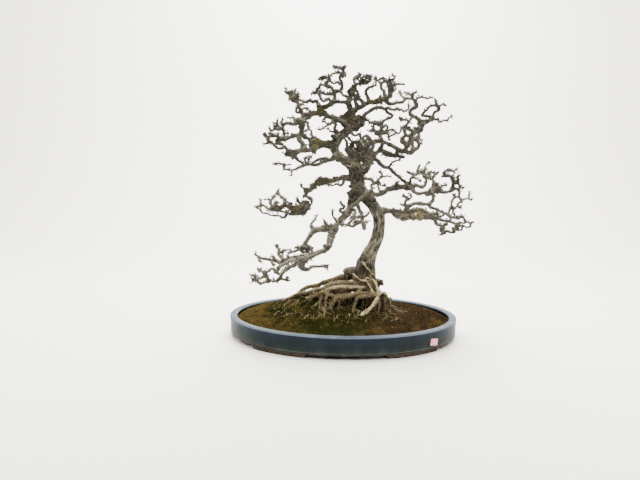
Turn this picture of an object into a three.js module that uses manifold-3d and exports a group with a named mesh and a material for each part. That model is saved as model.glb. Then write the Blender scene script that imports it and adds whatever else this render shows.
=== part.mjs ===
// A che tree grown as a bonsai, bare of leaves, in an oval glazed pot.
// Millimetres, +Z up, the front looks along -Y, and the pot stands on the plane z = 0.

import * as THREE from 'three';
import { mergeVertices } from 'three/addons/utils/BufferGeometryUtils.js';
import Module from 'manifold-3d';

const wasm = await Module();
wasm.setup();

// Pot
const POT_LENGTH = 700;
const POT_DEPTH = 520;
const POT_SIDES = 60;
const RIM_TOP = 62;
const RIM_WIDTH = 21;
const WALL_FOOT_INSET = 2;
const FLOOR_TOP = 20;
const UNDERSIDE = 9;
const FOOT_OUTER_INSET = 3;
const FOOT_INNER_INSET = 40;
const FOOT_NEAR_X = 108;
const FOOT_FAR_X = 262;
const DRAIN_X = 150;
const DRAIN_RADIUS = 15;
const SCREEN_SIZE = 56;
const SCREEN_THICKNESS = 1.2;
const SCREEN_PITCH = 12;
const SCREEN_HOLE = 8;
const LABEL_FACET = 52;
const LABEL_WIDTH = 28;
const LABEL_HEIGHT = 19;
const LABEL_THICKNESS = 0.8;
const LABEL_Z = 29.5;
const LABEL_TILT = 8;

// Soil
const GAP = 0.3;
const ROOT_GAP = 0.4;
const SOIL_AT_RIM = 54;
const MOUND_RISE = 28;
const MOUND_LEAN = 5;
const RIDGE_RISE = 36;
const SOIL_RINGS = 9;
const SOIL_SIDES = 40;

// Tree
const EYE = new THREE.Vector3(-75.8, -1522.8, 445.8);
const LIFT = 4;
const FLUTE = 0.07;
const TRUNK_SIDES = 12;
const STEM_BEND = 3.5;
const LIMB_BEND = 2.4;
const ROOT_BEND = 2.4;
const TRUNK_BEND = 0.5;

// The trunk from the soil up: across, up and back as seen from the front, then its radius
const TRUNK = [
  [47, 42, 24, 20], [50, 84, 24, 22], [56, 114, 24, 25], [64, 144, 16, 29], [66, 170, 0, 33],
  [68, 192, 0, 32.5], [69, 213, 0, 29.5], [77, 237, -2, 25], [87, 259, -3, 21], [96, 279, -4, 19],
  [103, 301, -5, 17.5], [107, 326, -6, 16.5], [107, 349, -6, 17], [103, 370, -6, 18.5], [90, 392, -5, 18],
  [76, 408, -4, 18], [60, 426, -3, 19.5], [46, 446, -2, 20], [37, 468, 0, 21], [37, 488, 0, 22],
  [40, 502, 2, 16],
];

// Roots that stand clear of the soil: radii at the two ends, then points across, up and back.
// The last point of each lies under the soil.
const ROOTS = [
  [22, 9, [[62, 192, 4], [30, 182, 16], [4, 172, 24], [-22, 164, 30], [-46, 158, 34]]],
  [9, 4, [[-34, 162, 32], [-62, 154, 36], [-80, 145, 40], [-106, 141, 42], [-122, 134, 43], [-142, 116, 44],
    [-160, 108, 46], [-178, 96, 47], [-196, 80, 48], [-206, 62, 48]]],
  [15, 11, [[58, 190, -6], [30, 192, -12], [8, 192, -16]]],
  [9, 4, [[70, 156, -20], [44, 150, -30], [18, 155, -34], [-12, 153, -36], [-42, 148, -34], [-62, 136, -30],
    [-84, 132, -22], [-106, 125, -12], [-122, 121, -4], [-142, 117, 6], [-162, 107, 14], [-184, 94, 20],
    [-204, 72, 24]]],
  [7.5, 4, [[84, 140, -30], [54, 138, -42], [8, 139, -47], [-30, 136, -45], [-56, 126, -38],
    [-76, 117, -28], [-96, 109, -18], [-118, 102, -8], [-140, 94, 0], [-158, 83, 6], [-172, 66, 10]]],
  [7.5, 7, [[106, 116, -56], [80, 121, -60], [52, 121, -61], [32, 116, -62], [12, 109, -63], [-6, 105, -64],
    [-22, 104, -64], [-30, 94, -66], [-36, 80, -69], [-42, 66, -72], [-46, 50, -74]]],
  [6, 4.6, [[58, 127, -46], [33, 120, -52], [10, 117, -54], [-12, 114, -54], [-28, 111, -53],
    [-42, 117, -50], [-58, 122, -44], [-78, 116, -34], [-98, 106, -24], [-118, 92, -18], [-132, 74, -14]]],
  [7.5, 7, [[112, 121, -58], [109, 106, -64], [101, 90, -72], [90, 76, -80], [75, 63, -88], [60, 50, -96],
    [48, 36, -100]]],
  [4.4, 4.6, [[27, 184, -18], [41, 171, -32], [53, 163, -36], [68, 158, -38]]],
  [3.4, 3, [[60, 216, -29], [71, 203, -33], [83, 190, -34], [94, 176, -28]]],
  [4.6, 4.4, [[62, 162, -34], [75, 161, -39], [82, 149, -45], [90, 137, -50], [100, 123, -56],
    [110, 116, -60]]],
  [4.8, 5.6, [[68, 167, -30], [86, 163, -38], [96, 154, -43], [101, 139, -51], [108, 126, -57],
    [112, 118, -60]]],
  [11, 8.5, [[82, 158, 2], [100, 161, -4], [112, 156, -8]]],
  [10, 9, [[74, 150, 0], [98, 132, -26], [114, 123, -38], [130, 118, -38]]],
  [5, 3.8, [[108, 120, -54], [125, 123, -54], [137, 112, -52], [146, 99, -52], [148, 86, -52],
    [147, 72, -52], [149, 57, -52], [150, 42, -52]]],
  [4.2, 3.4, [[-46, 122, -46], [-53, 104, -66], [-55, 84, -86], [-57, 64, -102], [-58, 46, -112],
    [-58, 30, -116]]],
  [2.8, 2.4, [[-62, 124, -36], [-70, 102, -46], [-72, 84, -60], [-73, 66, -72], [-74, 48, -78]]],
  [5.4, 4.6, [[110, 113, -60], [94, 114, -64], [78, 111, -67], [61, 109, -69], [45, 105, -71],
    [39, 90, -74], [35, 74, -78], [33, 58, -82], [32, 42, -84]]],
  [4, 3, [[-62, 104, -40], [-80, 88, -52], [-98, 75, -58], [-118, 64, -58], [-132, 50, -54]]],
  [11, 5, [[74, 172, 16], [96, 148, 44], [112, 124, 66], [126, 104, 84], [136, 86, 96], [142, 66, 104]]],
  [9, 4.4, [[44, 160, 26], [14, 142, 50], [-14, 124, 70], [-42, 110, 84], [-66, 92, 96], [-84, 72, 104]]],
  [10, 5, [[60, 150, 24], [56, 130, 56], [48, 114, 84], [42, 96, 106], [38, 74, 120]]],
  [8, 4, [[70, 158, 4], [92, 140, 6], [122, 122, 18], [148, 108, 28], [172, 90, 34], [188, 66, 38]]],
];

// Stems: name, what it grows from, radii at its two ends, how far back it ends, and its points
// across and up as seen from the front
const STEMS = [
  ['leader', 'trunk', 15, 13, 14, [[26, 513], [8, 525], [-10, 537], [-23, 548], [-31, 560], [-34, 573],
    [-29, 586], [-20, 600], [-5, 614], [10, 623], [24, 633], [32, 644]]],
  ['knuckle', 'leader', 14, 12, 19, [[22, 633], [36, 640], [47, 641]]],
  ['crown', 'leader', 14, 8.4, 22, [[26, 646], [19, 660], [14, 674], [14, 682]]],
  ['crown shoulder', 'leader', 9.2, 6.8, 27, [[6, 640], [-6, 654], [-14, 662]]],
  ['knot', 'leader', 11, 9.2, -8, [[-20, 541], [-28, 546], [-34, 540]]],

  // Top of the crown, left of the middle
  ['ridge', 'crown', 6.2, 5.2, 35, [[8, 690], [3, 702], [-15, 705], [-32, 704], [-45, 701], [-60, 694],
    [-72, 690], [-82, 690]]],
  ['ridge end', 'ridge', 5.6, 2.8, 51, [[-84, 699], [-92, 707], [-101, 704], [-108, 710], [-118, 703],
    [-128, 705], [-139, 708], [-151, 704]]],
  ['apex left', 'ridge', 5.8, 2.3, 59, [[-36, 713], [-35, 723], [-38, 734], [-43, 744], [-52, 748],
    [-63, 751], [-58, 760], [-53, 770], [-50, 780], [-42, 788], [-34, 788], [-26, 791]]],
  ['apex left out', 'apex left', 4.5, 2.6, 27, [[-46, 728], [-58, 727], [-70, 729], [-82, 733], [-93, 732],
    [-104, 729]]],
  ['apex left knob', 'apex left out', 5.2, 3, 19, [[-84, 736], [-90, 731], [-88, 740], [-80, 748]]],
  ['apex left tuft', 'apex left', 4.2, 2.1, 76, [[-60, 777], [-69, 775], [-76, 771], [-82, 771]]],
  ['hook', 'ridge', 4.5, 3, 0, [[-48, 708], [-55, 714], [-61, 711], [-68, 706], [-75, 710], [-79, 719],
    [-81, 729]]],
  ['apex', 'apex left', 5.5, 2.2, -11, [[-28, 736], [-20, 738], [-15, 746], [-13, 754], [-16, 764],
    [-21, 773], [-20, 781], [-12, 785], [-11, 793], [-10, 801], [-8, 809]]],
  ['apex knob', 'apex', 5.7, 5.2, -14, [[-14, 782], [-7, 784]]],
  ['apex inner', 'apex', 4.2, 2.1, 27, [[-20, 757], [-27, 763], [-36, 759], [-44, 760], [-50, 766]]],
  ['gnarl left', 'crown', 5.5, 4.2, -11, [[12, 694], [9, 706], [13, 717], [9, 729], [9, 740], [18, 748]]],

  // Centre limb and what stands on it
  ['limb C', 'crown', 7, 6, -19, [[20, 676], [32, 685], [44, 691], [55, 698], [68, 704], [84, 705],
    [98, 707], [110, 712], [122, 718], [133, 723]]],
  ['gnarl right', 'limb C', 6, 2.3, -38, [[32, 694], [27, 706], [31, 717], [34, 730], [28, 742], [25, 752],
    [32, 758], [44, 759], [51, 764], [56, 773], [62, 780]]],
  ['gnarl cross', 'limb C', 5.2, 4, -19, [[48, 707], [40, 713], [29, 719], [20, 729], [21, 741]]],
  ['limb C up', 'limb C', 6.3, 3, -40, [[130, 734], [128, 746], [127, 757], [121, 767], [130, 771],
    [140, 773], [144, 781], [137, 785]]],
  ['limb C ring', 'limb C', 4.7, 4, 8, [[114, 727], [112, 738], [105, 745], [103, 756], [109, 764],
    [120, 766]]],
  ['finger', 'limb C', 5.5, 2.4, -54, [[66, 715], [61, 726], [58, 737], [64, 746], [75, 751], [86, 755],
    [88, 765], [87, 775]]],
  ['right top', 'limb C', 5.4, 2.1, 35, [[123, 705], [138, 701], [153, 705], [170, 707], [178, 716],
    [190, 717], [206, 714], [220, 721], [232, 721], [243, 718], [254, 722]]],
  ['right top b', 'right top', 4.2, 2.1, 14, [[199, 726], [203, 733], [209, 735]]],
  ['right chain', 'right top', 5.4, 5.8, 19, [[208, 705], [211, 696], [203, 690], [195, 684], [192, 675],
    [200, 666], [211, 662], [220, 654], [222, 643], [226, 634]]],
  ['right chain out', 'right chain', 5.2, 2, 54, [[236, 652], [252, 654], [264, 656], [274, 657], [284, 650],
    [295, 655], [305, 653], [311, 663], [319, 665]]],
  ['right loop', 'right chain out', 4.5, 3, 14, [[254, 664], [241, 667], [229, 669], [236, 679], [245, 687],
    [251, 696], [263, 698], [274, 695]]],

  // Second right limb, under the centre one
  ['limb D', 'knuckle', 6.3, 3.8, -49, [[52, 655], [57, 669], [70, 678], [84, 687], [97, 690], [109, 689],
    [119, 682], [128, 674], [137, 669], [136, 661], [126, 658], [117, 653], [108, 646], [97, 641]]],
  ['limb D out', 'limb D', 4.2, 2.1, -84, [[124, 690], [138, 684], [152, 685], [166, 684], [178, 681],
    [186, 686], [188, 694]]],

  // Right fork and the dense middle
  ['fork', 'trunk', 13, 7.6, -19, [[52, 502], [64, 510], [71, 522], [73, 536], [70, 550], [66, 564],
    [64, 578]]],
  ['middle', 'fork', 11, 7.6, 8, [[60, 541], [44, 546], [28, 547], [14, 550]]],
  ['middle back', 'fork', 9.2, 4, 202, [[60, 530], [46, 540], [40, 554], [52, 566], [44, 578], [54, 590]]],
  ['middle rise', 'middle', 4.5, 3.5, -19, [[6, 560], [4, 573], [3, 585], [-3, 596]]],
  ['middle ring a', 'middle', 4.5, 2.8, 59, [[26, 563], [36, 573], [30, 584], [18, 581], [12, 571]]],
  ['middle ring b', 'fork', 4.7, 3, 54, [[50, 568], [48, 580], [38, 588], [24, 588], [12, 594], [6, 604],
    [10, 615]]],
  ['middle ring c', 'fork', 5, 3, -49, [[56, 592], [44, 602], [42, 612], [30, 606], [20, 612]]],
  ['middle ring d', 'fork', 5.2, 3.3, 14, [[74, 590], [72, 601], [60, 606], [48, 598]]],
  ['middle ring e', 'fork', 5.2, 3.3, -65, [[80, 566], [84, 578], [78, 592], [66, 597]]],
  ['middle lump', 'fork', 6.8, 5.2, 94, [[56, 556], [44, 562], [34, 566]]],

  // Right limbs from the fork
  ['limb E', 'fork', 7.1, 6.2, -40, [[78, 585], [94, 590], [108, 591], [122, 586], [134, 581], [148, 574],
    [161, 566], [175, 561], [189, 558], [201, 557]]],
  ['limb E end', 'limb E', 6, 4.2, -19, [[209, 566], [219, 572], [222, 583], [217, 595], [221, 609],
    [222, 622], [227, 633]]],
  ['limb E up', 'limb E', 6.3, 5.2, -54, [[184, 573], [193, 583], [196, 595], [196, 607], [204, 614],
    [212, 624], [222, 632]]],
  ['limb E cross', 'limb E', 4.5, 3.5, -5, [[203, 570], [203, 583], [205, 596], [214, 603]]],
  ['limb E knob', 'limb E up', 5.5, 2.8, -70, [[203, 620], [196, 625], [187, 628]]],
  ['swan', 'limb E up', 6.8, 2.8, -89, [[181, 584], [171, 588], [171, 599], [181, 609], [177, 621],
    [174, 633], [183, 640], [188, 649], [181, 655], [172, 654], [163, 657]]],
  ['tower', 'limb E', 6, 4, 11, [[106, 600], [103, 612], [106, 625], [108, 637], [103, 649]]],
  ['limb F', 'fork', 7.6, 5.2, 49, [[84, 548], [94, 556], [105, 562], [118, 560], [132, 555], [146, 551],
    [160, 550], [170, 544], [178, 544]]],
  ['tower foot', 'limb F', 6, 5.5, -27, [[106, 570], [112, 582], [108, 592]]],
  ['limb F low', 'limb F', 5.5, 4.5, 73, [[116, 553], [130, 547], [146, 545], [162, 544], [174, 543]]],
  ['limb F knob', 'limb F', 5.5, 2.8, 27, [[155, 557], [163, 562], [172, 555]]],
  ['limb G', 'fork', 6.8, 5, 81, [[86, 537], [97, 533], [106, 523], [117, 513], [130, 512], [138, 507],
    [146, 499], [156, 490], [167, 482], [178, 472], [190, 463]]],
  ['nest', 'trunk', 5.2, 2.3, -46, [[58, 478], [70, 477], [84, 473], [92, 466], [100, 464], [101, 474],
    [110, 482], [112, 491], [107, 496]]],

  // Upper left limb
  ['limb U', 'leader', 8.7, 6.8, 40, [[4, 634], [-12, 645], [-28, 654], [-45, 660], [-62, 667], [-80, 671],
    [-98, 669], [-114, 667], [-127, 664]]],
  ['limb U hump', 'limb U', 7.6, 6, 38, [[-68, 672], [-80, 680], [-84, 690]]],
  ['limb U end', 'limb U', 6, 2.2, 54, [[-134, 672], [-139, 683], [-146, 690], [-143, 699], [-152, 703],
    [-162, 706], [-168, 717], [-162, 727], [-172, 728], [-181, 731], [-180, 742]]],
  ['limb U tuft', 'limb U end', 4.5, 2.1, 70, [[-152, 709], [-144, 716], [-150, 725], [-156, 730],
    [-152, 739]]],
  ['limb U under', 'limb U', 5.2, 4.7, 30, [[-108, 661], [-120, 654], [-130, 648]]],
  ['limb U under tip', 'limb U', 5.2, 2.8, 14, [[-132, 658], [-142, 652], [-151, 646]]],
  ['curl', 'limb U', 4.5, 4, 11, [[-40, 646], [-31, 639], [-34, 628], [-33, 620], [-24, 613], [-14, 610]]],

  // Middle left limb
  ['limb M', 'leader', 11, 7.1, -46, [[-50, 577], [-65, 578], [-80, 575], [-94, 569], [-106, 562],
    [-118, 560], [-132, 560], [-145, 557]]],
  ['limb M knob', 'limb M', 8.4, 7.6, -49, [[-92, 566], [-98, 558]]],
  ['limb M hump', 'limb M', 9.2, 6.8, -22, [[-78, 580], [-90, 585], [-102, 582]]],
  ['limb M out', 'limb M', 6.3, 2.2, -84, [[-158, 555], [-168, 556], [-178, 562], [-185, 571], [-193, 577],
    [-206, 578], [-220, 578], [-232, 581], [-245, 578]]],
  ['limb M low', 'limb M', 6.8, 5.7, -27, [[-156, 551], [-168, 547], [-182, 547]]],
  ['limb M low knob', 'limb M low', 6.3, 4.5, -14, [[-162, 542], [-156, 537]]],
  ['limb M foot', 'limb M', 5, 3.5, 35, [[-150, 548], [-150, 538], [-144, 530], [-134, 525], [-128, 519]]],
  ['limb M under', 'limb M out', 4.2, 2.8, -100, [[-190, 567], [-202, 565], [-214, 570]]],
  ['limb M pad', 'limb M out', 5.7, 2.8, -81, [[-206, 587], [-203, 598], [-213, 603], [-224, 601],
    [-229, 608]]],
  ['limb M pad in', 'limb M out', 5.2, 3.3, -54, [[-200, 586], [-196, 594], [-186, 594], [-176, 597]]],
  ['post', 'limb M', 7.9, 7.3, -22, [[-128, 571], [-132, 583], [-141, 594], [-142, 604], [-136, 614],
    [-132, 626], [-131, 640], [-134, 648]]],
  ['post brace', 'post', 6.3, 5.2, -14, [[-124, 601], [-111, 594], [-98, 588]]],
  ['post left', 'post', 6.3, 3.5, 19, [[-144, 643], [-154, 638], [-165, 638], [-176, 641], [-186, 637],
    [-190, 627], [-188, 616], [-186, 606], [-185, 599]]],
  ['post left up', 'post left', 4.2, 2.2, -5, [[-155, 648], [-157, 658], [-168, 656], [-173, 657]]],
  ['post left top', 'post', 5.5, 4.2, -40, [[-142, 650], [-151, 652], [-153, 643]]],
  ['post low', 'post', 5.4, 4, -51, [[-154, 604], [-166, 600], [-176, 594], [-186, 592]]],
  ['post right', 'post', 4.2, 2.8, -49, [[-120, 646], [-115, 635], [-113, 626], [-105, 619], [-102, 609],
    [-101, 598]]],

  // Thin left branch between the middle and lower limbs
  ['limb N', 'knot', 5.5, 2.2, 65, [[-44, 533], [-56, 531], [-68, 526], [-80, 520], [-92, 517], [-104, 518],
    [-116, 517], [-128, 513], [-141, 508], [-152, 503], [-163, 500], [-175, 502], [-187, 505], [-189, 515],
    [-197, 520], [-203, 521], [-208, 516], [-218, 518]]],
  ['limb N twin', 'limb N', 4.5, 3.5, 11, [[-56, 536], [-68, 536], [-80, 534], [-90, 529], [-99, 522]]],

  // Lower left limb that climbs down in a zigzag to its pad
  ['limb L', 'trunk', 9.2, 6.8, 78, [[8, 479], [-8, 480], [-24, 475], [-38, 470], [-52, 467], [-66, 465],
    [-80, 461], [-92, 455], [-101, 446]]],
  ['limb L hump', 'limb L', 7.9, 6, 68, [[-66, 468], [-76, 470], [-86, 464]]],
  ['limb L zigzag', 'limb L', 6.3, 5.7, 89, [[-107, 439], [-117, 432], [-122, 424], [-112, 418], [-102, 411],
    [-101, 401], [-108, 392]]],
  ['limb L pad', 'limb L zigzag', 7.6, 5.7, 94, [[-118, 389], [-132, 388], [-146, 385], [-160, 383],
    [-174, 388], [-184, 397]]],
  ['limb L pad low', 'limb L zigzag', 6.8, 2.2, 124, [[-118, 378], [-130, 369], [-146, 367], [-162, 366],
    [-176, 370], [-190, 374], [-204, 376], [-217, 376], [-229, 381], [-241, 387], [-252, 392], [-262, 389],
    [-272, 386]]],
  ['limb L pad fill', 'limb L pad', 6.8, 5.2, 103, [[-130, 379], [-144, 376], [-156, 374]]],
  ['limb L pad top', 'limb L zigzag', 4.7, 2.1, 113, [[-114, 399], [-126, 402], [-138, 401], [-145, 406],
    [-146, 416]]],
  ['limb L pad mid', 'limb L pad', 5.2, 4, 119, [[-190, 388], [-202, 383], [-214, 379]]],
  ['limb L rise', 'limb L pad', 5.4, 2, 130, [[-183, 404], [-187, 414], [-195, 421], [-201, 429],
    [-203, 440]]],
  ['limb L far', 'limb L pad low', 4.5, 2, 94, [[-220, 386], [-226, 396], [-227, 406], [-236, 411],
    [-244, 409]]],

  // Lowest left limb, which comes down past the front of the trunk
  ['limb K', 'trunk', 13, 7.9, -70, [[34, 436], [24, 422], [20, 405], [17, 389], [9, 373], [-3, 358],
    [-14, 345], [-26, 334], [-40, 326], [-56, 322], [-72, 321], [-87, 318]]],
  ['limb K shoulder', 'trunk', 9.2, 6.8, -43, [[62, 424], [46, 414], [32, 416]]],
  ['limb K out', 'limb K', 7.6, 5.2, -81, [[-98, 311], [-106, 299], [-113, 287], [-120, 277], [-123, 267]]],
  ['limb K pale', 'trunk', 5.5, 4.5, -59, [[82, 442], [70, 434], [57, 423], [46, 413], [36, 404],
    [27, 395]]],
  ['limb K down', 'limb K', 9.2, 6.2, -140, [[-35, 318], [-42, 302], [-45, 286], [-44, 272], [-52, 260],
    [-64, 254], [-77, 249], [-89, 243], [-99, 236], [-110, 230], [-124, 226]]],
  ['limb K down twin', 'limb K', 7.1, 5.7, -81, [[-24, 322], [-31, 306], [-36, 290], [-41, 276]]],
  ['limb K stub', 'limb K down', 6, 5.5, -130, [[-52, 270], [-60, 270]]],
  ['limb K loop', 'limb K', 4.7, 2.3, -68, [[6, 377], [-6, 374], [-14, 377], [-12, 385], [-3, 386], [0, 393],
    [-8, 396], [-12, 403]]],
  ['limb K spur c', 'limb K', 4.2, 2, -40, [[-98, 324], [-103, 334], [-97, 344], [-90, 352], [-86, 360]]],
  ['tassel', 'limb K pale', 5.7, 5.4, -89, [[41, 395], [45, 384], [51, 373], [55, 361], [55, 349], [59, 338],
    [62, 325]]],
  ['tassel top', 'limb K', 4.7, 4.2, -84, [[27, 383], [33, 372], [28, 364], [21, 358]]],
  ['tassel arch', 'tassel', 4.5, 2.8, -113, [[44, 360], [33, 358], [24, 350], [14, 341], [6, 334]]],
  ['tassel base', 'tassel', 5, 2.6, -94, [[46, 344], [37, 338], [27, 331], [14, 334], [2, 336], [-8, 332]]],
  ['tassel knob', 'tassel base', 6, 5.2, -100, [[40, 345], [34, 347]]],

  // Its upper strand
  ['limb K ring', 'limb K out', 4.7, 3.5, -100, [[-114, 262], [-105, 266], [-99, 257], [-99, 245],
    [-101, 236]]],
  ['limb K wave', 'limb K out', 5.7, 2.8, -54, [[-113, 258], [-110, 250], [-118, 246], [-129, 252],
    [-139, 257], [-149, 252], [-160, 249], [-172, 245]]],
  ['limb K upper', 'limb K down', 6, 4.7, -113, [[-112, 236], [-126, 238], [-138, 234], [-150, 234],
    [-163, 231], [-176, 227], [-187, 222], [-193, 213]]],
  ['limb K pad', 'limb K down', 8.4, 6, -148, [[-114, 226], [-127, 223], [-138, 222]]],
  ['limb K middle', 'limb K down', 5.7, 4.2, -173, [[-138, 228], [-151, 223], [-164, 222], [-176, 216],
    [-188, 208], [-200, 203]]],
  ['limb K horn', 'limb K upper', 5.5, 2.1, -94, [[-192, 232], [-200, 240], [-198, 250], [-203, 259],
    [-209, 268]]],
  ['limb K far', 'limb K upper', 5.2, 2.1, -130, [[-200, 216], [-210, 222], [-222, 222], [-234, 225],
    [-246, 227], [-256, 230], [-265, 235], [-275, 241]]],
  ['limb K cross', 'limb K middle', 4.7, 2.1, -189, [[-203, 194], [-212, 191], [-221, 197], [-232, 189],
    [-243, 184], [-254, 188], [-264, 193]]],
  ['limb K cross low', 'limb K cross', 4.5, 3.3, -176, [[-210, 186], [-201, 181], [-193, 176]]],
  ['limb K low', 'limb K pad', 5.5, 2.2, -130, [[-146, 212], [-155, 206], [-165, 203], [-175, 196],
    [-185, 186], [-193, 177], [-194, 167], [-202, 160], [-214, 157], [-227, 157], [-239, 154], [-250, 149],
    [-259, 146]]],
  ['limb K bridge', 'limb K low', 5, 3.8, -170, [[-236, 163], [-236, 173], [-242, 181]]],
  ['limb K right', 'limb K pad', 5.7, 2.8, -103, [[-134, 212], [-136, 204], [-126, 197], [-116, 193],
    [-107, 197], [-97, 204], [-85, 204], [-72, 205], [-60, 204], [-51, 199]]],
  ['limb K right knob', 'limb K pad', 6, 4.5, -124, [[-126, 212], [-130, 206]]],

  // Upper right limb
  ['limb A', 'trunk', 7.9, 6.8, 54, [[78, 434], [92, 430], [106, 430], [118, 434], [128, 442], [142, 447],
    [156, 449], [170, 452], [184, 454]]],
  ['limb A elbow', 'limb A', 6.8, 5.5, 22, [[112, 436], [122, 441], [128, 448]]],
  ['limb A pad', 'limb A', 8.4, 7.6, 59, [[186, 453], [198, 451], [206, 454]]],
  ['limb A rise', 'limb A pad', 5.5, 2.1, 89, [[214, 460], [226, 456], [236, 453], [244, 460], [248, 472],
    [246, 485], [242, 497], [243, 509], [246, 519], [252, 528]]],
  ['limb A run', 'limb A pad', 6, 5.5, 105, [[208, 445], [217, 437], [228, 434], [240, 436], [252, 440],
    [264, 441], [278, 442], [292, 440], [305, 439], [318, 441], [329, 446]]],
  ['limb A pad b', 'limb A run', 7.6, 6, 81, [[252, 434], [262, 437], [276, 446], [290, 447]]],
  ['limb A pad c', 'limb A run', 6.8, 5.2, 130, [[268, 448], [280, 452], [294, 447]]],
  ['limb A post', 'limb A run', 5.8, 4, 84, [[330, 458], [330, 470], [326, 481], [318, 489], [307, 488],
    [296, 487]]],
  ['limb A drop', 'limb A run', 4.5, 2.1, 68, [[339, 450], [348, 447], [350, 436], [350, 424], [359, 418],
    [369, 419], [379, 420], [389, 417]]],
  ['limb A crest', 'limb A run', 5.2, 2.8, 132, [[270, 455], [273, 466], [266, 476], [255, 480],
    [246, 484]]],
  ['limb A crown', 'limb A pad', 5.4, 2.2, 46, [[199, 466], [200, 478], [207, 487], [200, 494], [192, 497]]],
  ['limb A crown b', 'limb A crown', 4.2, 2.1, 22, [[210, 483], [220, 479], [227, 475]]],
  ['limb A crown c', 'limb A crown', 4.5, 2.8, 76, [[215, 493], [224, 498], [234, 503], [243, 507]]],

  // Lower right limb
  ['limb B', 'trunk', 9.7, 7.1, -70, [[118, 382], [132, 382], [145, 379], [155, 370], [168, 364], [182, 363],
    [196, 363], [210, 360]]],
  ['limb B upper', 'limb B', 6.8, 6, -40, [[156, 378], [172, 375], [188, 374], [203, 376], [216, 382],
    [230, 384]]],
  ['limb B knob', 'limb B', 6.8, 5.7, -73, [[178, 360], [188, 359]]],
  ['limb B pad', 'limb B', 8.4, 6, -89, [[222, 361], [236, 361], [250, 362], [262, 364]]],
  ['limb B pad back', 'limb B upper', 7.6, 6, -76, [[240, 378], [250, 373], [260, 368]]],
  ['limb B arch', 'limb B upper', 6, 5.7, -11, [[190, 384], [196, 394], [207, 401], [220, 404], [234, 403],
    [248, 402], [261, 405], [270, 413], [271, 425], [266, 436], [259, 444]]],
  ['limb B fork', 'limb B upper', 5.2, 2.1, -76, [[190, 388], [186, 399], [187, 410], [195, 416], [203, 422],
    [201, 432]]],
  ['limb B sweep', 'limb B arch', 4.7, 2.3, -54, [[262, 394], [274, 390], [287, 384], [299, 379], [311, 374],
    [320, 366], [332, 361], [345, 362]]],
  ['limb B ring', 'limb B pad', 4.7, 3, -76, [[272, 371], [284, 372], [290, 364], [299, 366], [306, 371],
    [300, 378]]],
  ['limb B out', 'limb B pad', 5.2, 2.1, -119, [[274, 361], [287, 358], [299, 353], [314, 352], [329, 348],
    [343, 343], [357, 347], [369, 345], [378, 349], [385, 346]]],
  ['limb B low', 'limb B pad', 5, 2.8, -113, [[279, 353], [281, 343], [292, 338], [304, 336], [311, 340]]],
];

// Curves and solids

// A point given as it is seen from the front, moved back along its line of sight. The heights count
// from a plane that lies LIFT above the pot's feet.
function place(across, up, back) {
  const point = new THREE.Vector3(across, 0, up).sub(EYE).multiplyScalar(1 - back / EYE.y).add(EYE);
  point.z += LIFT;
  return point;
}

function toSolid(geometry) {
  const merged = mergeVertices(geometry, 1e-4);
  return new wasm.Manifold(new wasm.Mesh({
    numProp: 3,
    vertProperties: new Float32Array(merged.attributes.position.array),
    triVerts: new Uint32Array(merged.index.array),
  }));
}

function bare(geometry) {
  geometry.deleteAttribute('normal');
  geometry.deleteAttribute('uv');
  return geometry;
}

function toGeometry(solid) {
  const mesh = solid.getMesh();
  const geometry = new THREE.BufferGeometry();
  geometry.setAttribute('position', new THREE.BufferAttribute(mesh.vertProperties, 3));
  geometry.setIndex(new THREE.BufferAttribute(mesh.triVerts, 1));
  geometry.computeVertexNormals();
  return geometry;
}

// A closed body through rings of points. Each ring turns anticlockwise seen from the way the rings go.
function loft(rings) {
  const sides = rings[0].length;
  const middle = (ring) => ring.reduce((sum, p) => sum.add(p), new THREE.Vector3()).divideScalar(sides);
  const points = rings.flat();
  const first = points.length;
  points.push(middle(rings[0]), middle(rings[rings.length - 1]));
  const index = [];
  for (let side = 0; side < sides; side += 1) {
    const next = (side + 1) % sides;
    index.push(first, next, side);
    for (let ring = 1; ring < rings.length; ring += 1) {
      const low = (ring - 1) * sides;
      const high = ring * sides;
      index.push(low + side, low + next, high + next);
      index.push(low + side, high + next, high + side);
    }
    const last = (rings.length - 1) * sides;
    index.push(first + 1, last + side, last + next);
  }
  const geometry = new THREE.BufferGeometry().setFromPoints(points);
  geometry.setIndex(index);
  return geometry;
}

// Rings of a tapering stem along points, its frame carried along without twist. Each ring is as long
// round as the circle that it stands for.
function stemRings({ points, radii }, sides, { flute = 0, wider = 0 } = {}) {
  const fill = Math.PI / (sides * Math.sin(Math.PI / sides));
  const ways = points.slice(1).map((p, i) => p.clone().sub(points[i]).normalize());
  const spans = points.slice(1).map((p, i) => p.distanceTo(points[i]));
  let along = ways[0].clone();
  const lean = Math.abs(along.z) < 0.9 ? new THREE.Vector3(0, 0, 1) : new THREE.Vector3(1, 0, 0);
  let across = lean.cross(along).normalize();
  return points.map((point, i) => {
    const before = ways[Math.max(i - 1, 0)];
    const after = ways[Math.min(i, ways.length - 1)];
    const way = before.clone().add(after).normalize();
    across = across.applyQuaternion(new THREE.Quaternion().setFromUnitVectors(along, way));
    along = way;
    const over = along.clone().cross(across);
    const shorter = Math.min(spans[Math.max(i - 1, 0)], spans[Math.min(i, spans.length - 1)]);
    const halfBend = before.angleTo(after) / 2;
    const room = 0.48 * shorter / Math.max(Math.tan(halfBend), 0.01);
    const radius = Math.min(radii[i] * fill, room) + wider;
    return Array.from({ length: sides }, (_, side) => {
      const turn = 2 * Math.PI * side / sides;
      const reach = radius * (1 + flute * Math.cos(5 * turn + 0.9 * i) + flute * Math.cos(3 * turn - 0.6 * i));
      const offset = across.clone().multiplyScalar(reach * Math.cos(turn));
      return offset.addScaledVector(over, reach * Math.sin(turn)).add(point);
    });
  });
}

function sidesFor(radius) {
  if (radius > 12) return 9;
  if (radius > 8) return 7;
  if (radius > 6.4) return 5;
  if (radius > 5.4) return 4;
  return 3;
}

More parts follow.
